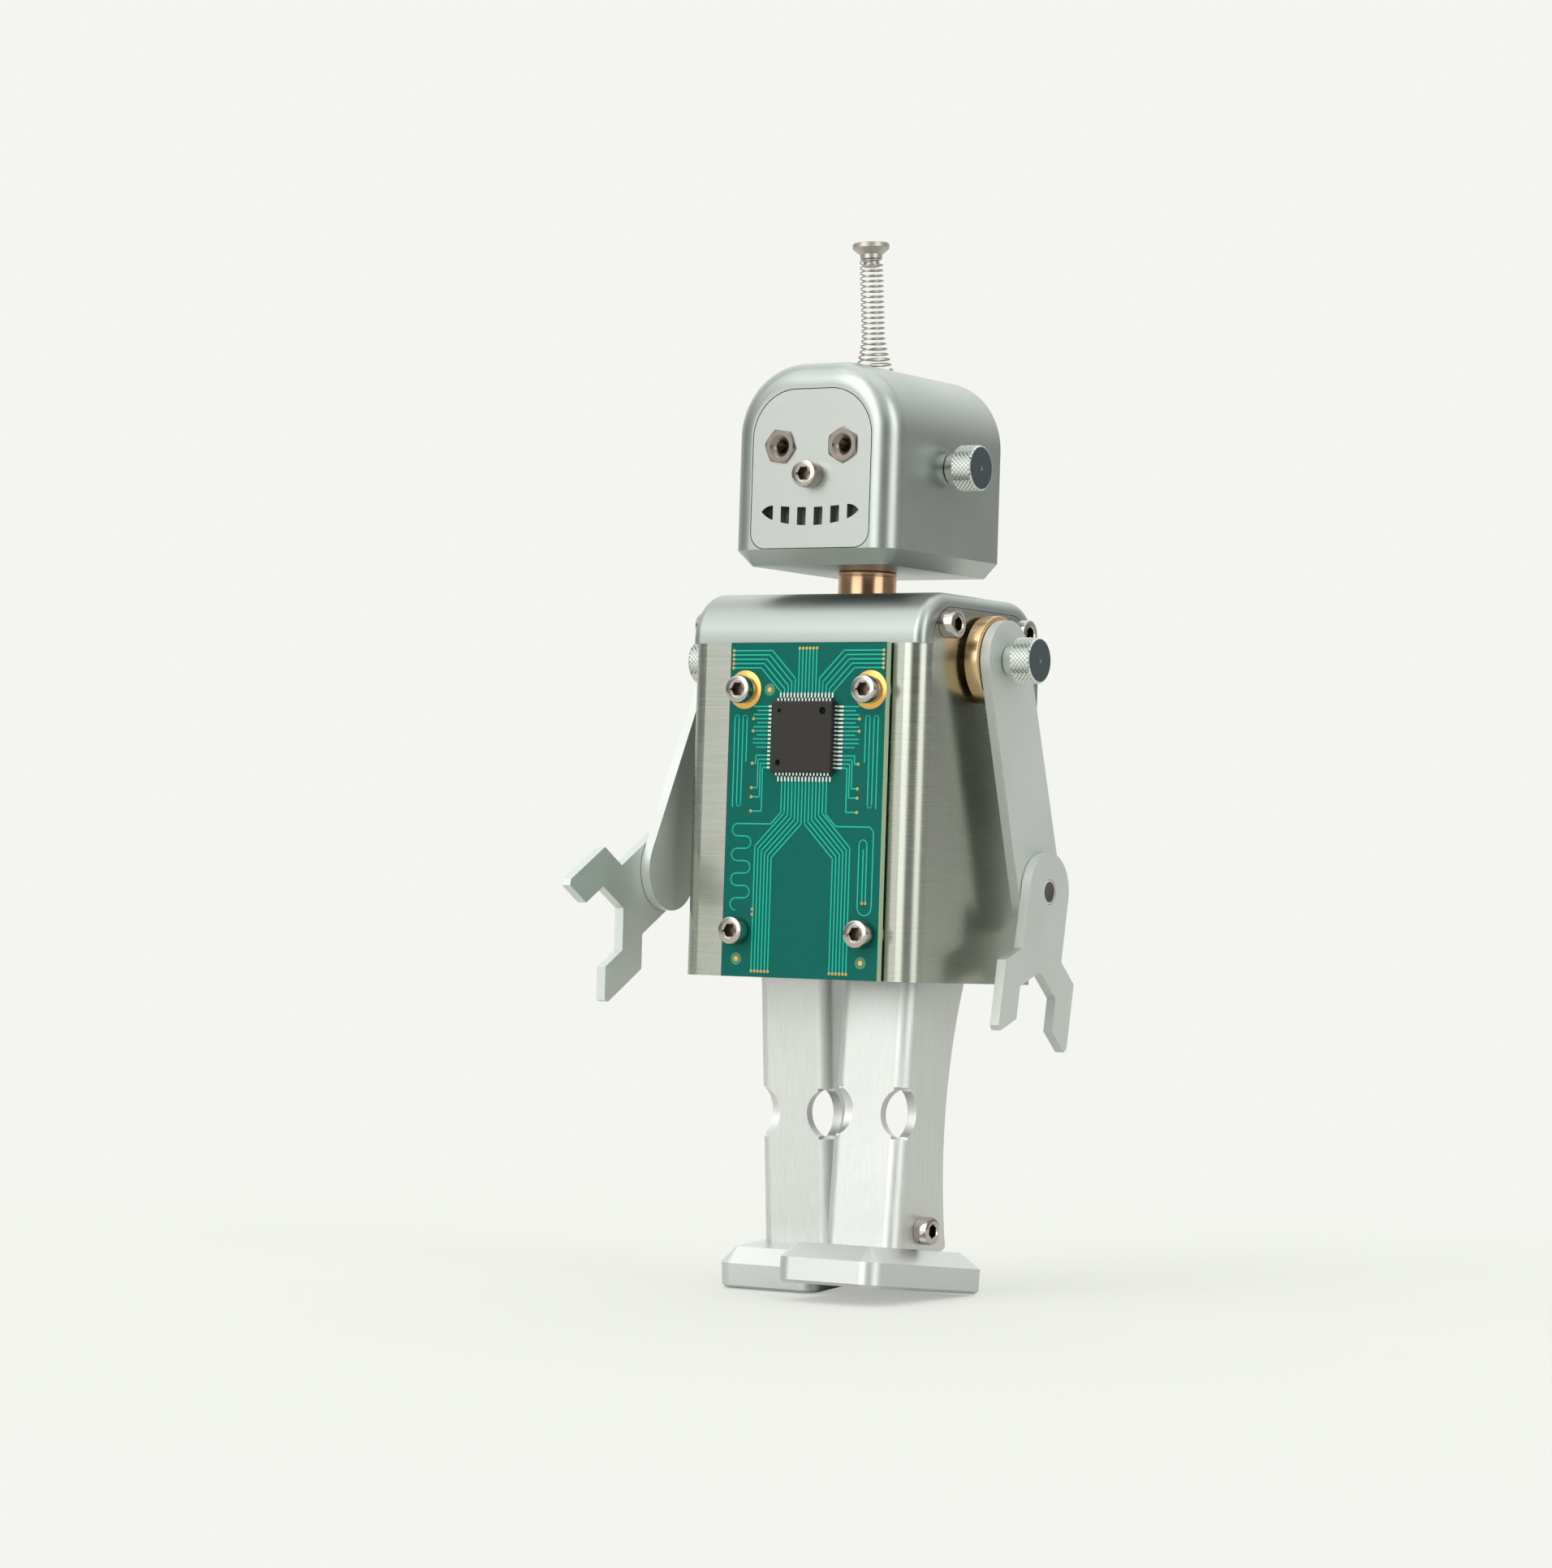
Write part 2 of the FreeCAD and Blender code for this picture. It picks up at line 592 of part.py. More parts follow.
def torso_shell():
    """Bent sheet shell, open at the back, with a side tab on each side for the shoulder block."""
    body = new_body("torso_shell")
    side = new_sketch(body, "YZ_Plane")
    tab_y = "torso_depth / 2 - tab_inset"
    polygon(side, [
        ("-torso_depth / 2", "0"), ("torso_depth / 2", "0"), ("torso_depth / 2", "shell_height"),
        (tab_y, "shell_height"), (tab_y, "shell_height + tab_height"),
        ("-(%s)" % tab_y, "shell_height + tab_height"), ("-(%s)" % tab_y, "shell_height"),
        ("-torso_depth / 2", "shell_height")])
    pad(body, side, "torso_width", both_sides=True)
    tab_top = size("shell_height") + size("tab_height")
    round_edges(body, lambda p, t, e: abs(t.x) > 0.99 and near(p.z, tab_top)
                and near(abs(p.y), size("torso_depth") / 2 - size("tab_inset")), "tab_corner")
    front = -size("torso_depth") / 2
    round_edges(body, lambda p, t, e: abs(t.z) > 0.99 and near(p.y, front), "shell_bend")
    inside = new_sketch(body, "XY_Plane")
    rectangle(inside, "-(torso_width / 2 - sheet_wall)", "-(torso_depth / 2 - sheet_wall)",
              "torso_width / 2 - sheet_wall", "torso_depth")
    pocket(body, inside, "4 * shell_height", both_sides=True)
    inner_x = size("torso_width") / 2 - size("sheet_wall")
    round_edges(body, lambda p, t, e: abs(t.z) > 0.99 and near(p.y, front + size("sheet_wall"))
                and near(abs(p.x), inner_x), "shell_bend - sheet_wall")
    holes = new_sketch(body, "YZ_Plane")
    for sign in ("", "-"):
        circle(holes, sign + "tab_screw_pitch / 2", "shell_height + tab_screw_rise", SCREW_HOLE)
    circle(holes, "shoulder_shift", "shell_height - shoulder_drop", "hub_stem_width + 2 * running_gap")
    pocket(body, holes, "2 * torso_width", both_sides=True)
    board_holes = new_sketch(body, "XZ_Plane", "torso_depth / 2")
    for across in ("board_shift - board_screw_pitch / 2", "board_shift + board_screw_pitch / 2"):
        for rise in BOARD_SCREW_ROWS:
            circle(board_holes, across, rise, SCREW_HOLE)
    pocket(body, board_holes, "2 * sheet_wall")
    return finish(body, torso_frame())


def shoulder_block():
    """Solid shoulder bar: round long edges, and at each end a tab recess and a hub nut's well."""
    body = new_body("shoulder_block")
    side = new_sketch(body, "YZ_Plane")
    rectangle(side, "-torso_depth / 2", "shell_height", "torso_depth / 2", "shell_height + block_height")
    pad(body, side, "torso_width", both_sides=True)
    top = size("shell_height") + size("block_height")
    round_edges(body, lambda p, t, e: abs(t.x) > 0.99 and near(p.z, top), "block_round")
    end = size("torso_width") / 2
    round_edges(body, lambda p, t, e: near(abs(p.x), end) and p.z > size("shell_height") + 0.2,
                "block_edge")
    for sign in ("", "-"):
        recess = new_sketch(body, "YZ_Plane", sign + "(torso_width / 2 - sheet_wall)")
        panel(recess, "torso_depth / 2 - tab_inset + seat_gap", "shell_height - 4",
              "shell_height + tab_height + seat_gap", "1", "tab_corner")
        pocket(body, recess, "2 * sheet_wall", along_normal=(sign == ""))
        well = new_sketch(body, "YZ_Plane", sign + "(torso_width / 2 - sheet_wall)")
        circle(well, "shoulder_shift", "shell_height - shoulder_drop",
               "hub_nut_flats * 2 / sqrt(3) + 2 * hub_nut_well")
        pocket(body, well, "hub_nut_thick + hub_nut_well", along_normal=(sign == "-"))
    bore = new_sketch(body, "XY_Plane", "shell_height + block_height")
    circle(bore, "0", "0", "neck_pin_width + 2 * running_gap")
    pocket(body, bore, "neck_pin_depth")
    return finish(body, torso_frame())


def neck_bushing():
    """Bronze bushing between the shoulder block and the head."""
    body = new_body("neck_bushing")
    base = "shell_height + block_height"
    disc = new_sketch(body, "XY_Plane", base)
    circle(disc, "0", "0", "neck_bush_width")
    circle(disc, "0", "0", "neck_pin_width + 2 * running_gap")
    pad(body, disc, "neck_height - plate_gap")
    return finish(body, torso_frame())


def shoulder_ring(side):
    """Bronze ring with a recessed outer face, standing off the shell on a narrow foot."""
    bore, foot, rim = "hub_stem_width / 2", "ring_foot_width / 2", "ring_width / 2"
    top = "ring_standoff + ring_thick"
    body = turned_piece("shoulder_ring_" + side, [
        (bore, "0"), (foot, "0"), (foot, "ring_standoff"), (rim, "ring_standoff"), (rim, top),
        ("ring_recess_width / 2", top), ("ring_recess_width / 2", top + " - ring_recess_depth"),
        (bore, top + " - ring_recess_depth")])
    body.Placement = facing(side, SIDE_SIGN[side] * size("torso_width") / 2, 0, 0)
    return finish(body, shoulder_frame())


def hub_face():
    """Distance from the robot's middle to the outer face of a shoulder hub."""
    return size("torso_width") / 2 + size("ring_standoff") + size("ring_thick") + size("hub_proud")


def shoulder_hub(side):
    """Copper hub with a notched disc in the ring's recess and a bored stem through the shell."""
    disc, stem = "hub_width / 2", "hub_stem_width / 2"
    floor = "-(ring_recess_depth + hub_proud)"
    end = "-(ring_thick + ring_standoff + hub_proud + sheet_wall + hub_nut_thick)"
    body = turned_piece("shoulder_hub_" + side, [
        ("0", end), (stem, end), (stem, floor), (disc, floor), (disc, "0"), ("0", "0")])
    bore = new_sketch(body, "XY_Plane")
    circle(bore, "0", "0", "knob_shank_width")
    pocket(body, bore, "knob_shank_depth")
    notch = new_sketch(body, "XY_Plane")
    rectangle(notch, "hub_width / 2 - hub_notch", "-hub_notch / 2", "hub_width", "hub_notch / 2")
    pocket(body, notch, "ring_recess_depth / 2")
    body.Placement = facing(side, SIDE_SIGN[side] * hub_face(), 0, 0)
    return finish(body, shoulder_frame())


def shoulder_nuts():
    """Nuts that hold the shoulder hubs from inside the shell."""
    reach = size("torso_width") / 2 - size("sheet_wall") - size("hub_nut_thick")
    nuts = [hex_nut("hub_nut_" + side, "hub_nut_flats", "hub_nut_thick", "hub_stem_width",
                    facing(side, SIDE_SIGN[side] * reach, 0, 0)) for side in SIDE_SIGN]
    return group("shoulder_nuts", nuts, shoulder_frame())


def tab_screws():
    """Four cap screws that hold the shell's tabs to the shoulder block."""
    height = size("shell_height") + size("tab_screw_rise")
    screws = []
    for side, sign in SIDE_SIGN.items():
        for row in (-1, 1):
            place = facing(side, sign * size("torso_width") / 2, row * size("tab_screw_pitch") / 2, height)
            screws.append(cap_screw("tab_screw", place, "sheet_wall"))
    return group("tab_screws", screws, torso_frame())


def board_front():
    """Distance from the robot's middle to the circuit board's front face."""
    return size("torso_depth") / 2 + size("board_standoff") + size("board_thick")


def board_top():
    """Height of the circuit board's top edge."""
    return size("shell_height") - size("board_drop")


def board_screw_places():
    """Across and height of each circuit board screw."""
    half = size("board_screw_pitch") / 2
    rows = (board_top() - size("board_screw_drop"), size("board_screw_low"))
    return [(size("board_shift") + way * half, row) for row in rows for way in (-1, 1)]


def circuit_board():
    """Bare rectangular board with its four screw holes."""
    body = new_body("circuit_board")
    face = new_sketch(body, "XZ_Plane", "torso_depth / 2 + board_standoff")
    rectangle(face, "board_shift - board_width / 2", "0", "board_shift + board_width / 2", BOARD_TOP)
    for across in ("board_shift - board_screw_pitch / 2", "board_shift + board_screw_pitch / 2"):
        for rise in BOARD_SCREW_ROWS:
            circle(face, across, rise, SCREW_HOLE)
    pad(body, face, "board_thick")
    return finish(body, torso_frame())


def board_spacers():
    """Thin washers that hold the circuit board off the shell."""
    washers = []
    for x, z in board_screw_places():
        disc = primitive("Cylinder", "washer_blank", Radius="spacer_width / 2", Height="board_standoff")
        hole = primitive("Cylinder", "washer_bore", Radius="cap_shank_width / 2", Height="board_standoff")
        washer = combine("Cut", "washer", disc, hole)
        washer.Placement = facing("front", x, -size("torso_depth") / 2, z)
        washers.append(washer)
    return group("board_spacers", washers, torso_frame())


def board_screws():
    """Four cap screws through the circuit board."""
    shank = "board_thick + board_standoff + sheet_wall + cap_nut_thick"
    screws = [cap_screw("board_screw", facing("front", x, -board_front(), z), shank)
              for x, z in board_screw_places()]
    return group("board_screws", screws, torso_frame())


def board_nuts():
    """Nuts behind the shell for the circuit board's screws."""
    inner = -size("torso_depth") / 2 + size("sheet_wall") + size("cap_nut_thick")
    nuts = [hex_nut("board_nut", "cap_nut_flats", "cap_nut_thick", "cap_shank_width",
                    facing("front", x, inner, z)) for x, z in board_screw_places()]
    return group("board_nuts", nuts, torso_frame())


def chip_body():
    """Square chip on the circuit board, with a bevelled edge and no marking."""
    body = new_body("chip_body")
    face = new_sketch(body, "XZ_Plane", "torso_depth / 2 + board_standoff + board_thick + chip_lift")
    rectangle(face, "board_shift - chip_width / 2", CHIP_MIDDLE + " - chip_width / 2",
              "board_shift + chip_width / 2", CHIP_MIDDLE + " + chip_width / 2")
    pad(body, face, "chip_thick")
    outer = -board_front() - size("chip_lift") - size("chip_thick")
    bevel_edges(body, lambda p, t, e: near(p.y, outer), "0.3")
    return finish(body, torso_frame())


def lead_outline(reach, tip):
    """Half-side outline of one gull-wing lead: out of the body, down and along the board."""
    thick, knee = 0.16, reach + 0.55
    middle = size("chip_lift") + size("chip_thick") / 2
    points = [(reach, middle), (knee, middle), (knee + 0.25, thick), (tip, thick), (tip, 0),
              (knee + 0.12, 0), (knee - 0.13, middle - thick), (reach, middle - thick)]
    return [Vector(out, 0, up) for out, up in points]


def chip_leads():
    """The chip's bent leads, sixteen on each side, as one group of thin solids."""
    outline = lead_outline(size("chip_width") / 2, size("lead_span") / 2)
    face = Part.Face(Part.makePolygon(outline + outline[:1]))
    face.translate(Vector(0, -size("lead_width") / 2, 0))
    lead = face.extrude(Vector(0, size("lead_width"), 0))
    count = int(size("lead_count"))
    leads = []
    for quarter in range(4):
        for k in range(count):
            copy = lead.copy()
            copy.translate(Vector(0, (k - (count - 1) / 2) * size("lead_pitch"), 0))
            copy.rotate(Vector(), Vector(0, 0, 1), 90 * quarter)
            leads.append(copy)
    item = DOC.addObject("Part::Feature", "chip_leads")
    item.Label = "chip_leads"
    item.Shape = Part.makeCompound(leads)
    middle = board_top() - size("chip_drop")
    item.Placement = facing("front", size("board_shift"), -board_front(), middle)
    return finish(item, torso_frame())


def hip_hanger():
    """Flat bar between the legs that hangs from the shoulder block and carries the hip axle."""
    body = new_body("hip_hanger")
    side = new_sketch(body, "YZ_Plane")
    rectangle(side, "hip_shift - hanger_depth / 2", "hip_rise - hanger_below", "hip_shift + hanger_depth / 2",
              "shell_height")
    pad(body, side, "leg_pitch - leg_width - 4 * plate_gap", both_sides=True)
    low = size("hip_rise") - size("hanger_below")
    round_edges(body, lambda p, t, e: abs(t.x) > 0.99 and near(p.z, low), "hanger_below - 0.5")
    hole = new_sketch(body, "YZ_Plane")
    circle(hole, "hip_shift", "hip_rise", "hip_axle_width + 2 * running_gap")
    pocket(body, hole, "torso_width", both_sides=True)
    return finish(body, torso_frame())


def leg_outside():
    """Distance from the robot's middle to the outer face of a leg."""
    return (size("leg_pitch") + size("leg_width")) / 2


def hip_axle():
    """Round axle through the hanger and both legs."""
    body = new_body("hip_axle")
    section = new_sketch(body, "YZ_Plane")
    circle(section, "hip_shift", "hip_rise", "hip_axle_width")
    pad(body, section, "leg_pitch + leg_width + 2 * hip_nut_thick + 4 * plate_gap", both_sides=True)
    return finish(body, torso_frame())


def hip_nuts():
    """Nuts that keep the legs on the hip axle."""
    reach = leg_outside() + 2 * size("plate_gap")
    nuts = [hex_nut("hip_nut_" + side, "hip_nut_flats", "hip_nut_thick", "hip_axle_width",
                    facing(side, sign * reach, size("hip_shift"), size("hip_rise")))
            for side, sign in SIDE_SIGN.items()]
    return group("hip_nuts", nuts, torso_frame())


# ---------------------------------------------------------------- head

def head_housing():
    """Head block: arched top, rounded front, flat back, bevelled underside, pocket for the face."""
    body = new_body("head_housing")
    front = new_sketch(body, "XZ_Plane", "head_forward - head_depth / 2")
    rectangle(front, "-head_width / 2", "0", "head_width / 2", "head_height")
    pad(body, front, "head_depth")
    round_edges(body, lambda p, t, e: abs(t.y) > 0.99 and near(p.z, size("head_height")), "head_crown")
    face_y = -size("head_forward") - size("head_depth") / 2
    round_edges(body, lambda p, t, e: near(p.y, face_y) and p.z > 1.0, "head_face_edge")
    back_y = face_y + size("head_depth")
    bevel_edges(body, lambda p, t, e: near(p.z, 0.0) and not near(p.y, back_y), "chin_chamfer")
    seat = new_sketch(body, "XZ_Plane", "head_forward + head_depth / 2")
    panel(seat, "face_width / 2 + face_gap", "face_rise - face_gap", "face_rise + face_height + face_gap",
          "face_corner + face_gap", "face_crown + face_gap")
    pocket(body, seat, "face_thick")
    nose = new_sketch(body, "XZ_Plane", "head_forward + head_depth / 2")
    circle(nose, "0", "nose_rise", SCREW_HOLE)
    for across in ("-eye_pitch / 2", "eye_pitch / 2"):
        circle(nose, across, "eye_rise", "eye_flats + 1.6")
    pocket(body, nose, "face_thick + cap_shank_length")
    cavity = new_sketch(body, "XZ_Plane", "head_forward + head_depth / 2 - face_thick")
    rectangle(cavity, "-(mouth_width / 2 + 0.6)", "mouth_rise - mouth_height / 2 - 1.2",
              "mouth_width / 2 + 0.6", "mouth_rise + mouth_height / 2 + 1.2")
    pocket(body, cavity, "mouth_cavity")
    ears = new_sketch(body, "YZ_Plane")
    circle(ears, "0", "ear_rise", "knob_shank_width")
    pocket(body, ears, "2 * head_width", both_sides=True)
    neck = new_sketch(body, "XY_Plane")
    circle(neck, "0", "0", "neck_pin_width + 2 * running_gap")
    pocket(body, neck, "neck_pin_width + seat_gap", along_normal=True)
    return finish(body, head_frame())


def neck_pin():
    """Pin fixed in the head that turns in the neck bushing and the shoulder block."""
    body = new_body("neck_pin")
    section = new_sketch(body, "XY_Plane", "neck_pin_width")
    circle(section, "0", "0", "neck_pin_width")
    pad(body, section, "neck_pin_width + neck_pin_depth", against_normal=True)
    return finish(body, head_frame())


def arc_centre(start, stop, radius):
    """Centre of the arc of a given radius that runs counterclockwise from start to stop."""
    chord = stop - start
    rise = math.sqrt(radius ** 2 - chord.Length ** 2 / 4)
    return (start + stop) / 2 + Vector(-chord.z, 0, chord.x) * (rise / chord.Length)


def mouth_slots():
    """Cutter for the smile: a crescent seen through four upright slots and two pointed ends."""
    face_y = -size("head_forward") - size("head_depth") / 2
    middle, height = size("mouth_rise"), size("mouth_height")
    smile, sag = size("mouth_smile"), size("mouth_sag")
    depth = size("face_thick") + 1.0

    def disc(radius, centre):
        return Part.makeCylinder(radius, 2 * depth, centre + Vector(0, face_y - depth, 0), Vector(0, 1, 0))
    crescent = disc(smile, Vector(0, 0, middle - height / 2 + smile))
    crescent = crescent.cut(disc(sag, Vector(0, 0, middle + height / 2 + sag)))
    half, pitch, slot = size("mouth_width") / 2, size("mouth_pitch"), size("mouth_slot")
    cutters = []
    for k in (-1.5, -0.5, 0.5, 1.5):
        corner = Vector(k * pitch - slot / 2, face_y - depth, middle - height)
        cutters.append(crescent.common(Part.makeBox(slot, 2 * depth, 2 * height, corner)))
    inner = 2.5 * pitch - slot / 2
    tip = Vector(half, 0, middle + 0.28 * height)
    upper, lower = Vector(inner, 0, middle + 0.62 * height), Vector(inner, 0, middle - 0.17 * height)
    end = disc(size("mouth_tip_over"), arc_centre(tip, upper, size("mouth_tip_over")))
    end = end.common(disc(size("mouth_tip_under"), arc_centre(lower, tip, size("mouth_tip_under"))))
    corner = Vector(inner, face_y - depth, middle - height)
    end = end.common(Part.makeBox(half, 2 * depth, 2 * height, corner))
    cutters += [end, end.mirror(Vector(), Vector(1, 0, 0))]
    return Part.makeCompound(cutters)


def face_plate():
    """Inlaid face plate with holes for eyes and nose and a mouth of six slots."""
    body = new_body("face_blank")
    sketch = new_sketch(body, "XZ_Plane", "head_forward + head_depth / 2")
    panel(sketch, "face_width / 2", "face_rise", "face_rise + face_height", "face_corner", "face_crown")
    pad(body, sketch, "face_thick", against_normal=True)
    eyes = new_sketch(body, "XZ_Plane", "head_forward + head_depth / 2")
    hexagon(eyes, "eye_pitch / 2", "eye_rise", "eye_flats", "left_eye_turn")
    hexagon(eyes, "-eye_pitch / 2", "eye_rise", "eye_flats", "right_eye_turn")
    circle(eyes, "0", "nose_rise", SCREW_HOLE)
    pocket(body, eyes, "2 * face_thick")
    cutter = DOC.addObject("Part::Feature", "mouth_cutter")
    cutter.Shape = mouth_slots()
    plate = combine("Cut", "face_plate", body, cutter)
    plate.Label = "face_plate"
    return finish(plate, head_frame())


def eye_bushes():
    """Two hexagonal threaded bushes with countersunk bores, pressed through the face plate."""
    depth = "face_thick + cap_shank_length - 1"
    back = size("face_thick") + size("cap_shank_length") - 1.0
    face_y = -size("head_forward") - size("head_depth") / 2
    bushes = []
    for side, sign in SIDE_SIGN.items():
        blank = hex_prism("eye_blank", "eye_flats", "eye_proud + " + depth)
        bore = primitive("Cylinder", "eye_bore", Radius="eye_bore / 2", Height="eye_proud + " + depth)
        mouth = primitive("Cone", "eye_mouth", Radius1="eye_bore / 2", Radius2="eye_mouth / 2",
                          Height="(eye_mouth - eye_bore) / 2",
                          Placement__Base__z="eye_proud + %s - (eye_mouth - eye_bore) / 2" % depth)
        bush = combine("Cut", "eye_bush", combine("Cut", "eye_bored", blank, bore), mouth)
        place = facing("front", sign * size("eye_pitch") / 2, face_y + back, size("eye_rise"))
        bush.Placement = place * Placement(Vector(), Rotation(Vector(0, 0, 1), size(side + "_eye_turn") + 30))
        bushes.append(bush)
    return group("eye_bushes", bushes, head_frame())


def nose_screw():
    """Cap screw in the middle of the face."""
    face_y = -size("head_forward") - size("head_depth") / 2
    screw = cap_screw("nose_blank", facing("front", 0, face_y, size("nose_rise")))
    return group("nose_screw", [screw], head_frame())


def ear_knob(side):
    """Knurled thumb screw in the side of the head."""
    body = thumb_screw("ear_knob_" + side, "knob_shank_depth")
    reach = size("head_width") / 2 + size("plate_gap")
    body.Placement = facing(side, SIDE_SIGN[side] * reach, 0, size("ear_rise"))
    return finish(body, head_frame())


# ---------------------------------------------------------------- antenna

def spring_radius(height):
    """Radius of the antenna's wire centre line, widening towards the head."""
    slim = (size("spring_width") - size("spring_wire")) / 2
    wide = (size("spring_foot_width") - size("spring_wire")) / 2
    share = max(0.0, 1.0 - height / size("spring_flare"))
    return slim + (wide - slim) * share ** 1.4


def antenna_coil(label, first_turn, last_turn):
    """Part of the antenna's coil, as straight lengths of five-sided wire joined end to end."""
    steps, sides = 12, 5
    wire = size("spring_wire") / 2
    rise = (size("spring_height") - 2 * wire) / size("spring_turns")
    count = round((last_turn - first_turn) * steps)
    rings = []
    for k in range(count + 1):
        turn = first_turn + (last_turn - first_turn) * k / count
        radius, way = spring_radius(rise * turn), 2 * math.pi * turn
        corners = []
        for side in range(sides + 1):
            lean = 2 * math.pi * side / sides
            reach = radius + wire * math.cos(lean)
            level = wire + rise * turn + wire * math.sin(lean)
            corners.append(Vector(reach * math.cos(way), reach * math.sin(way), level))
        rings.append(Part.makePolygon(corners))
    item = DOC.addObject("Part::Feature", label)
    item.Label = label
    item.Shape = Part.makeLoft(rings, True, True)
    return finish(item, antenna_frame())


def antenna_foot():
    """Lower turns of the antenna's spring, widening towards the head."""
    return antenna_coil("antenna_foot", 0.0, size("spring_fixed_turns") - size("spring_end_gap") / 2)


def antenna_spring():
    """Upper turns of the antenna's spring, which sway with the cap."""
    first = size("spring_fixed_turns") + size("spring_end_gap") / 2
    return antenna_coil("antenna_spring", first, size("spring_turns"))


def antenna_cap():
    """Turned cap on top of the antenna spring, with a plug that fills the top turns."""
    neck, rim, core = "cap_neck_width / 2", "cap_width / 2", "antenna_core_width / 2"
    base = "spring_height"
    body = turned_piece("antenna_cap", [
        ("0", base + " - antenna_core"), (core, base + " - antenna_core"), (core, base), (neck, base),
        (neck, base + " + cap_neck"), (rim, base + " + cap_neck + cap_cone"),
        (rim, base + " + cap_neck + cap_cone + cap_rim"), ("0", base + " + cap_neck + cap_cone + cap_rim")])
    return finish(body, antenna_frame())


# ---------------------------------------------------------------- arms

def arm_inner_face():
    """Distance from the robot's middle to the inner face of an upper arm."""
    return hub_face() + size("plate_gap")


def upper_arm(side):
    """Flat upper arm plate with round ends, a little wider at the elbow."""
    body = new_body("upper_arm_" + side)
    web = new_sketch(body, "YZ_Plane")
    polygon(web, [("-arm_top_width / 2", "0"), ("arm_top_width / 2", "0"),
                  ("arm_low_width / 2", "-arm_length"), ("-arm_low_width / 2", "-arm_length")])
    pad(body, web, "arm_plate")
    for level, width in (("0", "arm_top_width"), ("-arm_length", "arm_low_width")):
        end = new_sketch(body, "YZ_Plane")
        circle(end, "0", level, width)
        pad(body, end, "arm_plate")
    holes = new_sketch(body, "YZ_Plane")
    circle(holes, "0", "0", "knob_shank_width + 2 * running_gap")
    circle(holes, "0", "-arm_length", "elbow_pin_width")
    pocket(body, holes, "2 * arm_plate", along_normal=True)
    start = arm_inner_face() if side == "left" else -arm_inner_face() - size("arm_plate")
    body.Placement = move(start, 0, 0)
    return finish(body, arm_frame(side))


def elbow_pin(side):
    """Flush pin through the elbow, fixed in the upper arm."""
    body = new_body("elbow_pin_" + side)
    section = new_sketch(body, "YZ_Plane")
    circle(section, "0", "-arm_length", "elbow_pin_width")
    pad(body, section, "2 * arm_plate + plate_gap")
    length = 2 * size("arm_plate") + size("plate_gap")
    start = arm_inner_face() if side == "left" else -arm_inner_face() - length
    body.Placement = move(start, 0, 0)
    return finish(body, arm_frame(side))


def hand_outline():
    """Outline of the forearm and its open-jaw hand, as (across, down) formulas for one side."""
    tan60 = "tan(60 deg)"
    shoulder = "forearm_length + (hand_width - forearm_width) / 2 / " + tan60
    jaw_flat = "jaw_apex + jaw_width / 2 / " + tan60
    jaw_end = "hand_reach - (hand_width / 2 - finger_edge - jaw_width / 2) / " + tan60
    return [("forearm_width / 2", "forearm_length"), ("hand_width / 2", shoulder),
            ("hand_width / 2", "hand_reach - finger_edge"), ("hand_width / 2 - finger_edge", "hand_reach"),
            ("jaw_width / 2", jaw_end), ("jaw_width / 2", jaw_flat)]


def forearm_hand(side):
    """Forearm and open-jaw hand, cut from one plate."""
    body = new_body("forearm_hand_" + side)
    web = new_sketch(body, "YZ_Plane")
    half = hand_outline()
    points = [("-forearm_width / 2", "0"), ("forearm_width / 2", "0")]
    points += [(across, "-(%s)" % down) for across, down in half]
    points += [("0", "-jaw_apex")]
    points += [("-(%s)" % across, "-(%s)" % down) for across, down in reversed(half)]
    polygon(web, points)
    pad(body, web, "arm_plate")
    end = new_sketch(body, "YZ_Plane")
    circle(end, "0", "0", "forearm_width")
    pad(body, end, "arm_plate")
    hole = new_sketch(body, "YZ_Plane")
    circle(hole, "0", "0", "elbow_pin_width + 2 * running_gap")
    pocket(body, hole, "2 * arm_plate", along_normal=True)
    inner = arm_inner_face() + size("arm_plate") + size("plate_gap")
    start = inner if side == "left" else -inner - size("arm_plate")
    body.Placement = move(start, 0, 0)
    return finish(body, hand_frame(side))


def shoulder_knob(side):
    """Knurled thumb screw that clamps the arm to the shoulder hub."""
    depth = "arm_plate + 2 * plate_gap + knob_shank_depth - 0.5"
    body = thumb_screw("shoulder_knob_" + side, depth)
    reach = arm_inner_face() + size("arm_plate") + size("plate_gap")
    body.Placement = facing(side, SIDE_SIGN[side] * reach, 0, 0)
    return finish(body, shoulder_frame())


# ---------------------------------------------------------------- legs and feet

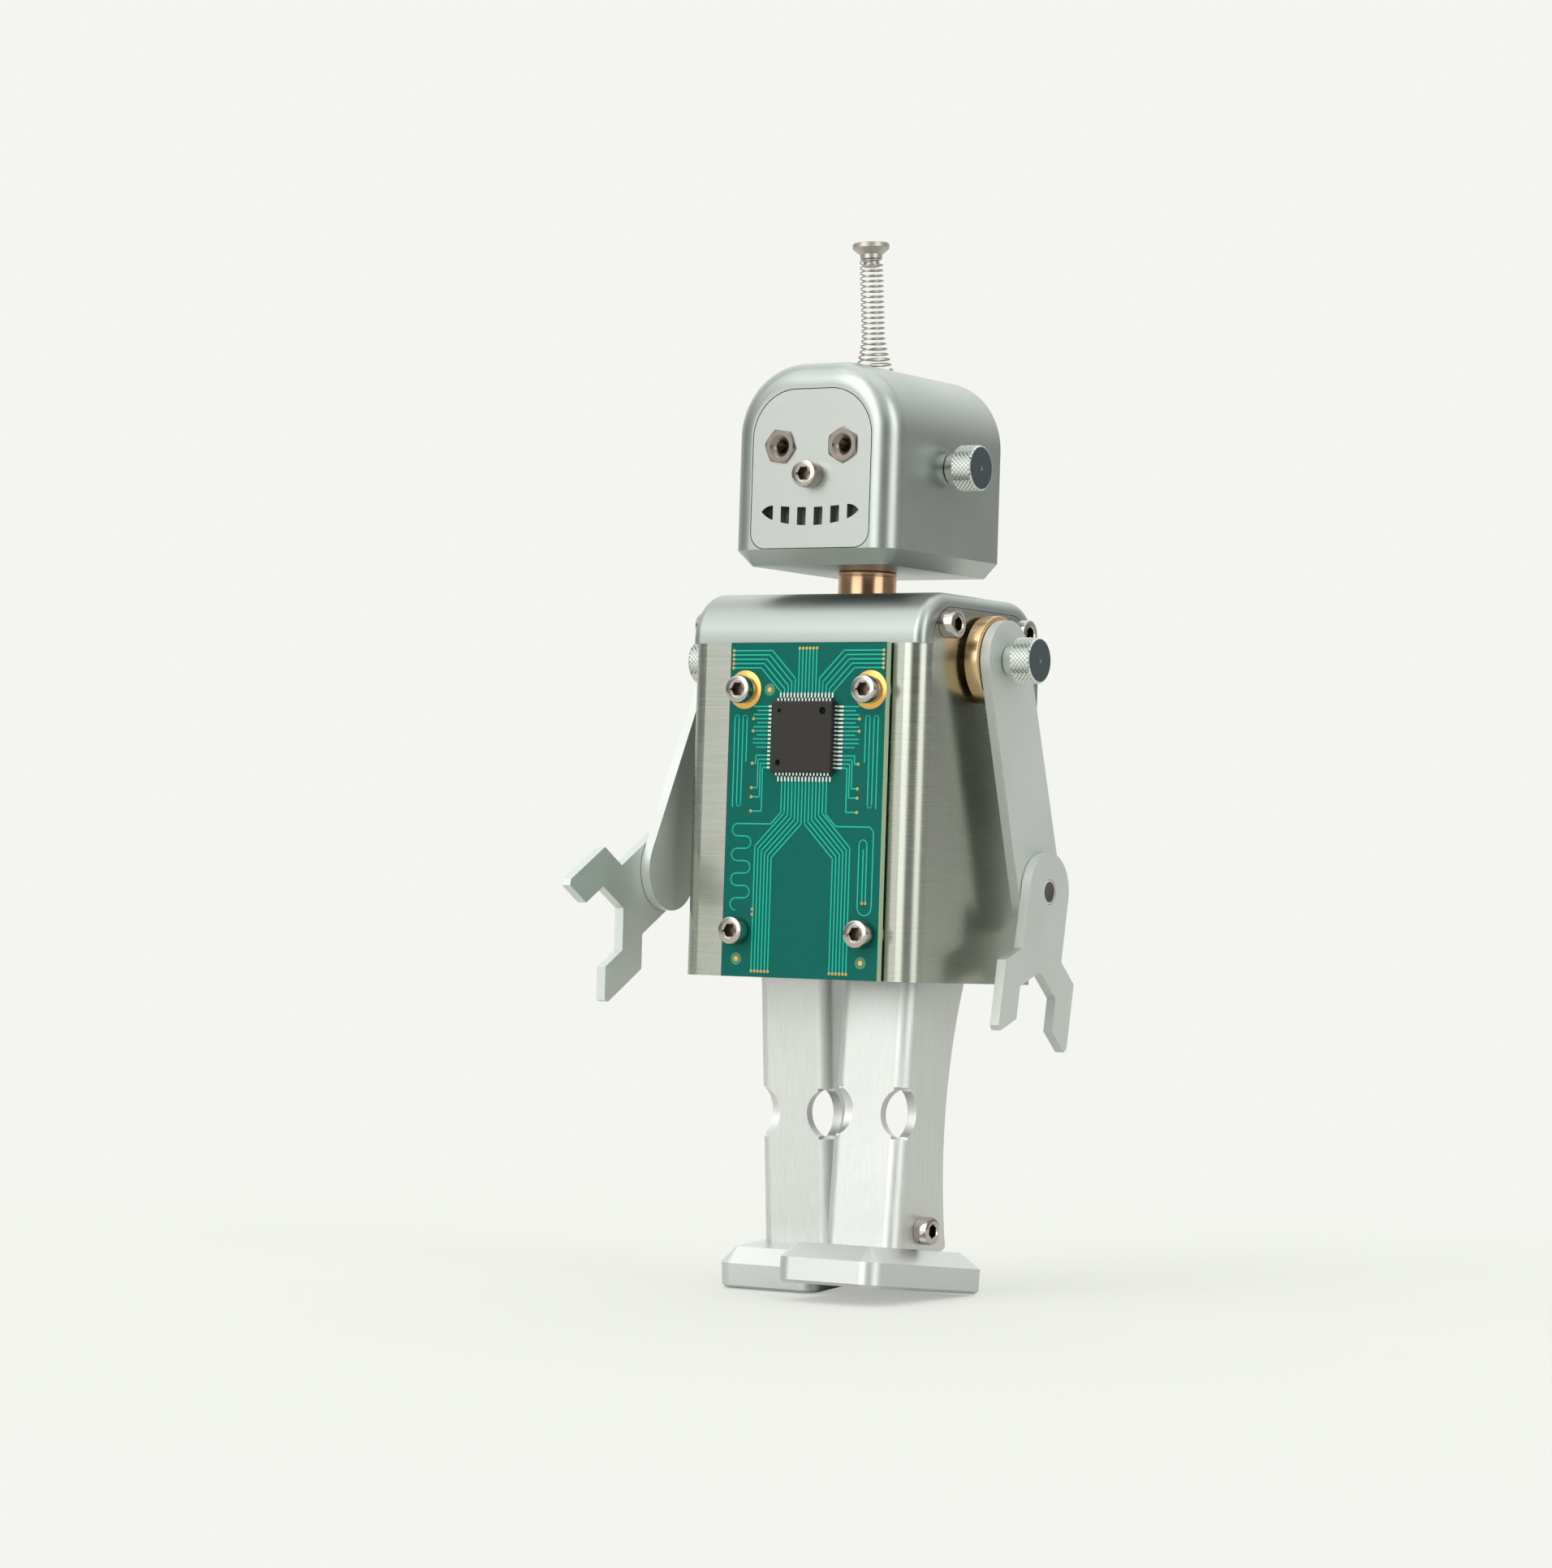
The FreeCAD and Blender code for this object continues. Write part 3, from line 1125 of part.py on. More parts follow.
def leg_channel(side):
    """Leg bent from sheet to a channel open at the back, hollowed at the calf, holed at the knee."""
    body = new_body("leg_channel_" + side)
    plan = new_sketch(body, "XY_Plane", "leg_top")
    rectangle(plan, "-leg_width / 2", "-leg_front", "leg_width / 2", "leg_depth - leg_front")
    pad(body, plan, "leg_length + leg_top", against_normal=True)
    front, back = -size("leg_front"), size("leg_depth") - size("leg_front")
    round_edges(body, lambda p, t, e: abs(t.z) > 0.99 and near(p.y, front), "leg_bend")
    inside = new_sketch(body, "XY_Plane", "leg_top + 1")
    rectangle(inside, "-(leg_width / 2 - leg_wall)", "-leg_front + leg_wall", "leg_width / 2 - leg_wall",
              "leg_depth")
    pocket(body, inside, "leg_length + leg_top + 2")
    half = size("leg_width") / 2
    round_edges(body, lambda p, t, e: abs(t.z) > 0.99 and near(abs(p.x), half - size("leg_wall"))
                and near(p.y, front + size("leg_wall")), "leg_bend - leg_wall")
    round_edges(body, lambda p, t, e: abs(t.x) > 0.99 and near(p.z, -size("leg_length"))
                and near(p.y, back), "heel_corner")
    top = new_sketch(body, "YZ_Plane")
    arch_trim(top, "(leg_depth / 2 - leg_front)", "leg_depth / 2", "leg_top")
    pocket(body, top, "2 * leg_width", both_sides=True)
    calf = new_sketch(body, "YZ_Plane")
    circle(calf, "leg_depth - leg_front - calf_waist + calf_radius", "-knee_drop", "2 * calf_radius")
    pocket(body, calf, "2 * leg_width", both_sides=True)
    web_holes = new_sketch(body, "XZ_Plane", "leg_front")
    for sign in ("", "-"):
        circle(web_holes, sign + "(leg_width / 2)", "-knee_drop", "knee_hole")
    pocket(body, web_holes, "leg_wall + 0.4")
    for sign, inward in (("", False), ("-", True)):
        flange_hole = new_sketch(body, "YZ_Plane", "%s(leg_width / 2)" % sign)
        circle(flange_hole, "-leg_front", "-knee_drop", "knee_hole")
        pocket(body, flange_hole, "leg_wall + 0.4", along_normal=inward)
    bores = new_sketch(body, "YZ_Plane")
    circle(bores, "0", "0", "hip_axle_width + 2 * running_gap")
    circle(bores, "0", "ankle_rise - leg_length", SCREW_HOLE)
    pocket(body, bores, "2 * leg_width", both_sides=True)
    return finish(body, leg_frame(side))


def hip_sleeve(side):
    """Bronze sleeve that keeps a leg's flanges apart on the hip axle."""
    body = new_body("hip_sleeve_" + side)
    section = new_sketch(body, "YZ_Plane")
    circle(section, "0", "0", "hip_sleeve_width")
    circle(section, "0", "0", "hip_axle_width + 2 * running_gap")
    pad(body, section, "leg_width - 2 * leg_wall", both_sides=True)
    return finish(body, leg_frame(side))


def foot(side):
    """Milled foot with a bevelled top, and a lug that fills the end of the leg channel."""
    body = new_body("foot_" + side)
    plan = new_sketch(body, "XY_Plane", "-leg_length")
    rectangle(plan, "-foot_width / 2", "-(leg_front + toe_reach)", "foot_width / 2",
              "foot_length - leg_front - toe_reach")
    pad(body, plan, "foot_height", against_normal=True)
    toe_y = -size("leg_front") - size("toe_reach")
    round_edges(body, lambda p, t, e: abs(t.z) > 0.99 and near(p.y, toe_y), "foot_corner")
    top, sole = -size("leg_length"), -size("leg_length") - size("foot_height")
    bevel_edges(body, lambda p, t, e: near(p.z, top), "foot_chamfer")
    bevel_edges(body, lambda p, t, e: near(p.z, sole), "sole_edge")
    lug = new_sketch(body, "XY_Plane", "-leg_length")
    rectangle(lug, "-(leg_width / 2 - leg_wall)", "-ankle_lug_depth / 2", "leg_width / 2 - leg_wall",
              "ankle_lug_depth / 2")
    pad(body, lug, "ankle_lug_height")
    hole = new_sketch(body, "YZ_Plane")
    circle(hole, "0", "ankle_rise - leg_length", SCREW_HOLE)
    pocket(body, hole, "2 * leg_width", both_sides=True)
    return finish(body, leg_frame(side))


def ankle_screws(side):
    """Cap screw on the outer side of the ankle that holds the foot's lug in the channel."""
    level = size("ankle_rise") - size("leg_length")
    place = facing(side, SIDE_SIGN[side] * size("leg_width") / 2, 0, level)
    screw = cap_screw("ankle_blank_" + side, place, "leg_width - leg_wall")
    return group("ankle_screw_" + side, [screw], leg_frame(side))


# ---------------------------------------------------------------- assembly

def build():
    """Make every sub-part."""
    fill_sheet()
    torso_shell()
    shoulder_block()
    neck_bushing()
    tab_screws()
    shoulder_nuts()
    circuit_board()
    board_spacers()
    board_screws()
    board_nuts()
    chip_body()
    chip_leads()
    hip_hanger()
    hip_axle()
    hip_nuts()
    head_housing()
    neck_pin()
    face_plate()
    eye_bushes()
    nose_screw()
    antenna_foot()
    antenna_spring()
    antenna_cap()
    for side in SIDE_SIGN:
        shoulder_ring(side)
        shoulder_hub(side)
        shoulder_knob(side)
        upper_arm(side)
        elbow_pin(side)
        forearm_hand(side)
        ear_knob(side)
        leg_channel(side)
        hip_sleeve(side)
        foot(side)
        ankle_screws(side)


def stand_on_floor():
    """Move everything so that the origin is under the middle of the robot, on the floor."""
    box = FreeCAD.BoundBox()
    for item in PARTS:
        box.add(item.Shape.BoundBox)
    shift = move(-box.Center.x, -box.Center.y, -box.ZMin)
    for item in PARTS:
        item.Placement = shift * item.Placement
    DOC.recompute()
    return box


def check_document():
    """Stop if any feature failed or any sub-part's shape is empty or invalid."""
    for item in DOC.Objects:
        if "Invalid" in item.State or "Error" in item.State:
            raise RuntimeError("%s failed: %s" % (item.Label, item.State))
    for item in PARTS:
        if item.Shape.isNull() or not item.Shape.isValid() or not item.Shape.Solids:
            raise RuntimeError("%s has no valid solid" % item.Label)


def export():
    """Write each sub-part to its own STEP file."""
    os.makedirs(OUT_DIR, exist_ok=True)
    for item in PARTS:
        item.Shape.exportStep(os.path.join(OUT_DIR, item.Label + ".step"))


build()
overall = stand_on_floor()
check_document()
export()
print("parts: %d  size: %.1f x %.1f x %.1f mm  lean: %.2f deg"
      % (len(PARTS), overall.XLength, overall.YLength, overall.ZLength, standing_lean()))
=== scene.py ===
"""Looks of the posable metal robot figure: finishes, fine hardware, circuit tracks, light and camera.

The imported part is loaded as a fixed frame. Its plates, blocks and housings keep their meshes and
get real finishes; screws, thumb screws, rings, the antenna and the circuit board's face are
modelled finer over the plain solids that they stand for. Lengths in the classes are millimetres.
"""
import json
import logging
import math
from dataclasses import dataclass, field
from enum import Enum
from typing import Callable, Sequence

import bmesh
import bpy
from mathutils import Matrix, Vector


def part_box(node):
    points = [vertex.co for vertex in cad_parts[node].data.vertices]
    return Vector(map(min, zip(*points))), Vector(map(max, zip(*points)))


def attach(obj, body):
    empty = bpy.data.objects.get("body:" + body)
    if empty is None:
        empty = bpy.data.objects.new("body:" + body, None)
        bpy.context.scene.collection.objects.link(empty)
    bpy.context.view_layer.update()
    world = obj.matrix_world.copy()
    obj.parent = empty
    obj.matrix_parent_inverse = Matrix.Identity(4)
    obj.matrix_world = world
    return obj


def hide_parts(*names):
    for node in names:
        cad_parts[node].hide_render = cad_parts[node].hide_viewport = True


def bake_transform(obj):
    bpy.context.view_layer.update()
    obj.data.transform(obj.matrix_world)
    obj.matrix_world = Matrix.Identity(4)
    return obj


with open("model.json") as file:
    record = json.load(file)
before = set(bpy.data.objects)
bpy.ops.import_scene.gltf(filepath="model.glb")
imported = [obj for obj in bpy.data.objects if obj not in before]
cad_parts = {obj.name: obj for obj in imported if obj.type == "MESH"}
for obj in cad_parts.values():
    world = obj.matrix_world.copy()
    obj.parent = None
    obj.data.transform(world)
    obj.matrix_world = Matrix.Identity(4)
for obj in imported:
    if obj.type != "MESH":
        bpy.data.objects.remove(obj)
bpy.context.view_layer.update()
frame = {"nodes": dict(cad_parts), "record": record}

LOG = logging.getLogger("robot")
MM = 0.001
Profile = Sequence[tuple[float, float]]
Track = list[tuple[float, float]]
Materials = dict[str, bpy.types.Material]
# Sockets of a Mix node that mixes colours: both colours and the result.
MIX_LOW, MIX_HIGH, MIX_RESULT = 6, 7, 2
# Broad patches of handling and polish on bare metal, about 17 mm across.
PATCHES_PER_METRE = 60.0
# How far a metal's roughness strays to either side of its mean.
ROUGHNESS_SPREAD = 0.2


# ---------------------------------------------------------------- colour and nodes

def linear(hex_colour: str) -> tuple[float, float, float, float]:
    """Turn an sRGB hex colour into linear RGBA.

    Args:
        hex_colour: a colour such as "#B8864F".

    Returns:
        The linear colour with full alpha.
    """
    parts = [int(hex_colour[k:k + 2], 16) / 255 for k in (1, 3, 5)]
    red, green, blue = [c / 12.92 if c <= 0.04045 else ((c + 0.055) / 1.055) ** 2.4 for c in parts]
    return red, green, blue, 1.0


def shaded(hex_colour: str, share: float) -> tuple[float, float, float, float]:
    """Make an sRGB hex colour linear and darker or lighter.

    Args:
        hex_colour: a colour such as "#B8864F".
        share: factor on the linear colour.

    Returns:
        The linear colour with full alpha, no channel over 1.
    """
    red, green, blue = [min(1.0, c * share) for c in linear(hex_colour)[:3]]
    return red, green, blue, 1.0


def add_node(tree: bpy.types.NodeTree, kind: str, inputs: dict | None = None,
             **settings: object) -> bpy.types.Node:
    """Add one shader node with its settings, input values and incoming links.

    Args:
        tree: the node tree to add to.
        kind: the node's type name, such as "ShaderNodeTexNoise".
        inputs: input name or index to its value, or to the output socket that feeds it.
        settings: the node's own properties.

    Returns:
        The new node.
    """
    node = tree.nodes.new(kind)
    for name, value in settings.items():
        setattr(node, name, value)
    for name, value in (inputs or {}).items():
        if isinstance(value, bpy.types.NodeSocket):
            tree.links.new(value, node.inputs[name])
        else:
            node.inputs[name].default_value = value
    return node


class Grain(Enum):
    """Direction in which a surface was brushed or turned."""

    ACROSS = "across"
    UPRIGHT = "upright"
    NONE = "none"


@dataclass(frozen=True)
class MetalFinish:
    """A bare metal surface with a fine worked grain.

    Attributes:
        name: the metal and how its surface was made.
        colour: sRGB hex of the bare metal.
        roughness: mean roughness.
        grain: direction of the brushing.
        grain_mm: spacing of the brushed lines, or size of the blasted dimples.
        tone: how much the lines change the colour, 0 to 1.
        relief_mm: height of the grain.
        streak: length of a brushed line over its width.
        wave_mm: width of the upright waves that rolling and folding leave in a sheet.
        wave_relief_mm: height of those waves.
    """

    name: str
    colour: str
    roughness: float
    grain: Grain = Grain.NONE
    grain_mm: float = 0.2
    tone: float = 0.08
    relief_mm: float = 0.004
    streak: float = 60.0
    wave_mm: float = 6.0
    wave_relief_mm: float = 0.0

    def grain_scale(self) -> tuple[float, float, float]:
        """Work out how many cells of the grain a metre holds each way.

        Returns:
            Cells per metre along X, Y and Z: many across the lines and few along them.
        """
        fine = 1.0 / (self.grain_mm * MM)
        coarse = fine / self.streak
        scales = {Grain.ACROSS: (coarse, coarse, fine), Grain.UPRIGHT: (fine, fine, coarse),
                  Grain.NONE: (fine, fine, fine)}
        return scales[self.grain]

    def sheet_waves(self, tree: bpy.types.NodeTree, place: bpy.types.NodeSocket) -> bpy.types.NodeSocket:
        """Add the shallow upright waves of a rolled and folded sheet.

        Args:
            tree: the material's node tree.
            place: socket with the object coordinates.

        Returns:
            The socket with the waves' normals.
        """
        across = 1.0 / (self.wave_mm * MM)
        upwards = 4.0
        level = add_node(tree, "ShaderNodeMapping", {"Vector": place, "Scale": (across, across, upwards)})
        waves = add_node(tree, "ShaderNodeTexNoise",
                         {"Vector": level.outputs["Vector"], "Scale": 1.0, "Detail": 0.0})
        sheet = add_node(tree, "ShaderNodeBump", {"Height": waves.outputs["Fac"], "Strength": 1.0,
                                                  "Distance": self.wave_relief_mm * MM})
        return sheet.outputs["Normal"]

    def build(self) -> bpy.types.Material:
        """Make the material.

        Returns:
            The material, with its grain in the colour, the roughness and the relief.
        """
        material = bpy.data.materials.new(self.name)
        material.use_nodes = True
        tree = material.node_tree
        shader = tree.nodes["Principled BSDF"]
        shader.inputs["Metallic"].default_value = 1.0
        place = add_node(tree, "ShaderNodeTexCoord").outputs["Object"]
        along = add_node(tree, "ShaderNodeMapping", {"Vector": place, "Scale": self.grain_scale()})
        lines = add_node(tree, "ShaderNodeTexNoise", {"Vector": along.outputs["Vector"], "Scale": 1.0,
                                                      "Detail": 3.0, "Roughness": 0.6})
        patches = add_node(tree, "ShaderNodeTexNoise",
                           {"Vector": place, "Scale": PATCHES_PER_METRE, "Detail": 2.0})
        tint = add_node(tree, "ShaderNodeMix", {"Factor": lines.outputs["Fac"],
                                                MIX_LOW: shaded(self.colour, (1 - self.tone) ** 2),
                                                MIX_HIGH: shaded(self.colour, 1 + self.tone)},
                        data_type="RGBA")
        tree.links.new(tint.outputs[MIX_RESULT], shader.inputs["Base Color"])
        uneven = add_node(tree, "ShaderNodeMath", {0: lines.outputs["Fac"], 1: patches.outputs["Fac"]},
                          operation="ADD")
        rough = add_node(tree, "ShaderNodeMapRange", {
            "Value": uneven.outputs[0], "From Min": 0.6, "From Max": 1.4,
            "To Min": self.roughness * (1 - ROUGHNESS_SPREAD),
            "To Max": self.roughness * (1 + ROUGHNESS_SPREAD)})
        tree.links.new(rough.outputs["Result"], shader.inputs["Roughness"])
        bump = add_node(tree, "ShaderNodeBump", {"Height": lines.outputs["Fac"], "Strength": 0.35,
                                                 "Distance": self.relief_mm * MM})
        if self.wave_relief_mm:
            tree.links.new(self.sheet_waves(tree, place), bump.inputs["Normal"])
        tree.links.new(bump.outputs["Normal"], shader.inputs["Normal"])
        return material


@dataclass(frozen=True)
class CoatedFinish:
    """A moulded, printed or coated surface that isn't bare metal.

    Attributes:
        name: the material and how its surface was made.
        colour: sRGB hex of the surface.
        roughness: mean roughness.
        ior: refractive index of the surface.
        mottle_mm: size of the faint unevenness of the colour.
        tone: how much the unevenness changes the colour.
        relief_mm: height of the moulded or printed texture.
    """

    name: str
    colour: str
    roughness: float
    ior: float = 1.5
    mottle_mm: float = 0.4
    tone: float = 0.06
    relief_mm: float = 0.004

    def mottled(self, tree: bpy.types.NodeTree, place: bpy.types.NodeSocket,
                detail: float) -> tuple[bpy.types.NodeSocket, bpy.types.NodeSocket]:
        """Add the finish's faintly uneven colour.

        Args:
            tree: the material's node tree.
            place: socket with the object coordinates.
            detail: octaves of the unevenness.

        Returns:
            The sockets with the unevenness and with the colour.
        """
        mottle = add_node(tree, "ShaderNodeTexNoise",
                          {"Vector": place, "Scale": 1.0 / (self.mottle_mm * MM), "Detail": detail})
        tint = add_node(tree, "ShaderNodeMix", {"Factor": mottle.outputs["Fac"],
                                                MIX_LOW: shaded(self.colour, 1 - self.tone),
                                                MIX_HIGH: shaded(self.colour, 1 + self.tone)},
                        data_type="RGBA")
        return mottle.outputs["Fac"], tint.outputs[MIX_RESULT]

    def build(self) -> bpy.types.Material:
        """Make the material.

        Returns:
            The material, with a faintly uneven colour and relief.
        """
        material = bpy.data.materials.new(self.name)
        material.use_nodes = True
        tree = material.node_tree
        shader = tree.nodes["Principled BSDF"]
        shader.inputs["IOR"].default_value = self.ior
        shader.inputs["Roughness"].default_value = self.roughness
        place = add_node(tree, "ShaderNodeTexCoord").outputs["Object"]
        mottle, colour = self.mottled(tree, place, 3.0)
        tree.links.new(colour, shader.inputs["Base Color"])
        bump = add_node(tree, "ShaderNodeBump",
                        {"Height": mottle, "Strength": 0.3, "Distance": self.relief_mm * MM})
        tree.links.new(bump.outputs["Normal"], shader.inputs["Normal"])
        return material


@dataclass(frozen=True)
class BoardFinish:
    """Solder mask on a board's two faces and raw laminate on its edges.

    Attributes:
        name: what the surface is.
        mask: finish of the faces.
        edge: finish of the cut edges.
    """

    name: str
    mask: CoatedFinish
    edge: CoatedFinish

    def build(self) -> bpy.types.Material:
        """Make the material.

        Returns:
            The mask's material, with the edge's colour wherever the surface doesn't face front or back.
        """
        material = self.mask.build()
        material.name = self.name
        tree = material.node_tree
        shader = tree.nodes["Principled BSDF"]
        mask_colour = shader.inputs["Base Color"].links[0].from_socket
        place = add_node(tree, "ShaderNodeTexCoord")
        parts = add_node(tree, "ShaderNodeSeparateXYZ", {0: place.outputs["Normal"]})
        size = add_node(tree, "ShaderNodeMath", {0: parts.outputs["Y"]}, operation="ABSOLUTE")
        faces = add_node(tree, "ShaderNodeMath", {0: size.outputs[0], 1: 0.7}, operation="GREATER_THAN")
        edge_colour = self.edge.mottled(tree, place.outputs["Object"], 2.0)[1]
        tint = add_node(tree, "ShaderNodeMix", {"Factor": faces.outputs[0], MIX_LOW: edge_colour,
                                                MIX_HIGH: mask_colour}, data_type="RGBA")
        tree.links.new(tint.outputs[MIX_RESULT], shader.inputs["Base Color"])
        return material


# Cold-rolled stainless sheet, brushed round the body: grey-brown with clear level lines.
SHELL_STEEL = MetalFinish(
    "stainless_steel_brushed", "#B3B5AB", roughness=0.25, grain=Grain.ACROSS, grain_mm=0.22, tone=0.10,
    relief_mm=0.003, wave_mm=9.0, wave_relief_mm=0.04)
# Milled aluminium, glass-bead finished to an even satin with a cool grey cast.
SATIN_ALUMINIUM = MetalFinish(
    "aluminium_satin_beaded", "#ABB0AD", roughness=0.36, grain_mm=0.12, tone=0.04, relief_mm=0.003)
# The head is the same metal, painted a shade lighter: painted light on its broad flanks.
HEAD_ALUMINIUM_PAINTED_LIGHT = MetalFinish(
    "aluminium_satin_beaded_head_painted_light", "#AFB4B1", roughness=0.34, grain_mm=0.12, tone=0.04, relief_mm=0.003)
# Laser-cut plate with a fine level brushing and a bright face.
FACE_METAL = MetalFinish(
    "aluminium_plate_fine_brushed", "#B9BCB9", roughness=0.40, grain=Grain.ACROSS, grain_mm=0.14,
    tone=0.06, relief_mm=0.004, streak=70.0)
# Folded aluminium sheet brushed along the leg: bright, with faint upright lines.
LEG_ALUMINIUM = MetalFinish(
    "aluminium_sheet_brushed_upright", "#DFE0DE", roughness=0.50, grain=Grain.UPRIGHT, grain_mm=0.3,
    tone=0.10, relief_mm=0.006)
# Milled block with a fine tumbled finish: bright, with soft highlights along its edges.
FOOT_ALUMINIUM = MetalFinish(
    "aluminium_milled_tumbled", "#D7D9D8", roughness=0.38, grain_mm=0.15, tone=0.05, relief_mm=0.004)
# Plate blasted with fine grit: even, matt and slightly green-grey.
ARM_ALUMINIUM = MetalFinish(
    "aluminium_plate_grit_blasted", "#D6DAD7", roughness=0.58, grain_mm=0.1, tone=0.06, relief_mm=0.006)
# Inside of a broached hexagon socket: rough and dark brown, painted shade where the recess lies in shadow.
SOCKET_PAINTED_SHADE = MetalFinish(
    "socket_steel_painted_shade", "#6B5F56", roughness=0.32, grain_mm=0.1, tone=0.15, relief_mm=0.003)
# Cast and turned bearing bronze, warm with bright turning lines.
BRONZE = MetalFinish(
    "bearing_bronze_turned", "#DDBD92", roughness=0.26, grain=Grain.ACROSS, grain_mm=0.12, tone=0.10,
    relief_mm=0.003, streak=200.0)
# Turned copper alloy, redder than the rings.
COPPER = MetalFinish(
    "copper_alloy_turned", "#D8A98C", roughness=0.26, grain_mm=0.12, tone=0.06, relief_mm=0.002)
# Neck bushing: the same bearing bronze as the rings, polished deeper, and painted darker as painted shade.
NECK_BRONZE_PAINTED_SHADE = MetalFinish(
    "bearing_bronze_polished_painted_shade", "#C8A283", roughness=0.17, grain=Grain.ACROSS, grain_mm=0.12, tone=0.08,
    relief_mm=0.002, streak=200.0)
# Nickel-plated steel of small screws: bright and nearly a mirror.
SCREW_STEEL = MetalFinish("screw_steel_nickel_plated", "#B9B2AC", roughness=0.15, tone=0.04, relief_mm=0.001)
# Plated knurled steel with a pale zinc sheen.
KNOB_STEEL = MetalFinish(
    "knob_steel_zinc_plated", "#D6DAD6", roughness=0.22, grain_mm=0.15, tone=0.06, relief_mm=0.002)
# Turned and plated steel cap of the antenna: soft and slightly warm.
CAP_STEEL = MetalFinish(
    "cap_steel_turned_plated", "#BDB7B2", roughness=0.42, grain_mm=0.12, tone=0.06, relief_mm=0.002)
# The knob's end face is turned flat; its dark colour is a painted reflection of the dim room that it faces.
KNOB_FACE_PAINTED_REFLECTION = MetalFinish(
    "knob_steel_painted_dark_reflection", "#5F6B6E", roughness=0.34, grain_mm=0.12, tone=0.10, relief_mm=0.003)
# Hard-drawn spring wire: a thin bright line along each turn.
SPRING_STEEL = MetalFinish("spring_wire_drawn", "#B5B0AA", roughness=0.25, tone=0.05, relief_mm=0.001)
# Turned and polished nickel of the eye bushes, brownish.
EYE_NICKEL = MetalFinish("nickel_bush_turned", "#8F867F", roughness=0.24, grain_mm=0.1, relief_mm=0.002)
# Blackened steel pin: dark brown with a soft sheen.
DARK_PIN = MetalFinish(
    "steel_pin_blackened", "#6A635F", roughness=0.36, grain_mm=0.1, tone=0.10, relief_mm=0.003)
# Tin plate on chip leads: pale and slightly soft.
TIN = MetalFinish("tin_plated_lead", "#D9D9D4", roughness=0.30, tone=0.04, relief_mm=0.001)
# Immersion gold on copper pads: warm, smooth and bright.
GOLD = MetalFinish("immersion_gold", "#E2B263", roughness=0.26, tone=0.05, relief_mm=0.001)
# Green-blue solder mask over bare laminate: a thin gloss coat with a deep colour.
SOLDER_MASK = CoatedFinish(
    "solder_mask_teal", "#005E54", roughness=0.24, ior=1.22, mottle_mm=0.6, tone=0.05, relief_mm=0.003)
# The same mask where it lies over a copper track: lighter and glossier.
TRACK_MASK = CoatedFinish(
    "solder_mask_over_copper", "#1BB09A", roughness=0.24, ior=1.3, mottle_mm=0.6, tone=0.04, relief_mm=0.002)
# Raw edge of glass-cloth laminate: pale green and fibrous.
LAMINATE_EDGE = CoatedFinish(
    "glass_epoxy_edge", "#A9B79A", roughness=0.6, mottle_mm=0.2, tone=0.12, relief_mm=0.01)
# Laminate seen through an opening in the mask: a dull mid green.
BARE_LAMINATE = CoatedFinish("glass_epoxy_under_mask", "#3E8263", roughness=0.5, mottle_mm=0.2, tone=0.10)
# The board itself: mask on both faces, sawn edges left bare.
BOARD = BoardFinish("circuit_board_masked", SOLDER_MASK, LAMINATE_EDGE)
# Moulded epoxy chip body, dark grey and matt.
CHIP_EPOXY = CoatedFinish(
    "epoxy_moulded_chip", "#302D2A", roughness=0.5, ior=1.3, mottle_mm=0.12, tone=0.10, relief_mm=0.006)
# The chip's moulding marks are sunk and look black.
CHIP_MARK = CoatedFinish(
    "epoxy_moulded_mark", "#0B0B0C", roughness=0.55, ior=1.15, mottle_mm=0.12, tone=0.05, relief_mm=0.002)
# Turned nylon washers: off-white and waxy.
NYLON = CoatedFinish("nylon_turned", "#DAD9D2", roughness=0.5, ior=1.53, mottle_mm=0.3, tone=0.04)


# ---------------------------------------------------------------- modelling helpers

def deselect_all() -> None:
    """Leave nothing selected and stay in object mode."""
    if bpy.context.object and bpy.context.object.mode != "OBJECT":
        bpy.ops.object.mode_set(mode="OBJECT")
    bpy.ops.object.select_all(action="DESELECT")


def select_only(*pieces: bpy.types.Object) -> None:
    """Select the given pieces, with the first one active.

    Args:
        pieces: the pieces to select.
    """
    deselect_all()
    for piece in pieces:
        piece.select_set(True)
    bpy.context.view_layer.objects.active = pieces[0]


def object_mode() -> None:
    """Leave edit mode."""
    bpy.ops.object.mode_set(mode="OBJECT")


def apply_place() -> None:
    """Apply the selected pieces' place, turn and scale to their meshes."""
    bpy.ops.object.transform_apply(location=True, rotation=True, scale=True)


def apply_modifiers(piece: bpy.types.Object) -> None:
    """Apply all of a piece's modifiers in order.

    Args:
        piece: the piece whose modifiers are applied.
    """
    select_only(piece)
    for modifier in list(piece.modifiers):
        bpy.ops.object.modifier_apply(modifier=modifier.name)


def smooth_below(piece: bpy.types.Object, angle: float) -> None:
    """Shade a piece smoothly across every edge that bends by less than an angle.

    Args:
        piece: the piece to shade.
        angle: the angle in degrees.
    """
    select_only(piece)
    bpy.ops.object.shade_smooth_by_angle(angle=math.radians(angle))


def pick(piece: bpy.types.Object, mode: str, test: Callable[[Vector], bool]) -> None:
    """Enter edit mode with the vertices or faces selected whose place passes a test.

    Args:
        piece: the mesh object.
        mode: "VERT" or "FACE".
        test: takes a vertex's or face centre's place and says whether to select it.
    """
    select_only(piece)
    bpy.ops.object.mode_set(mode="EDIT")
    bpy.ops.mesh.select_mode(type=mode)
    bpy.ops.mesh.select_all(action="DESELECT")
    shape = bmesh.from_edit_mesh(piece.data)
    items = shape.verts if mode == "VERT" else shape.faces
    for item in items:
        place = item.co if mode == "VERT" else item.calc_center_median()
        item.select_set(bool(test(place)))
    shape.select_flush_mode()
    bmesh.update_edit_mesh(piece.data)


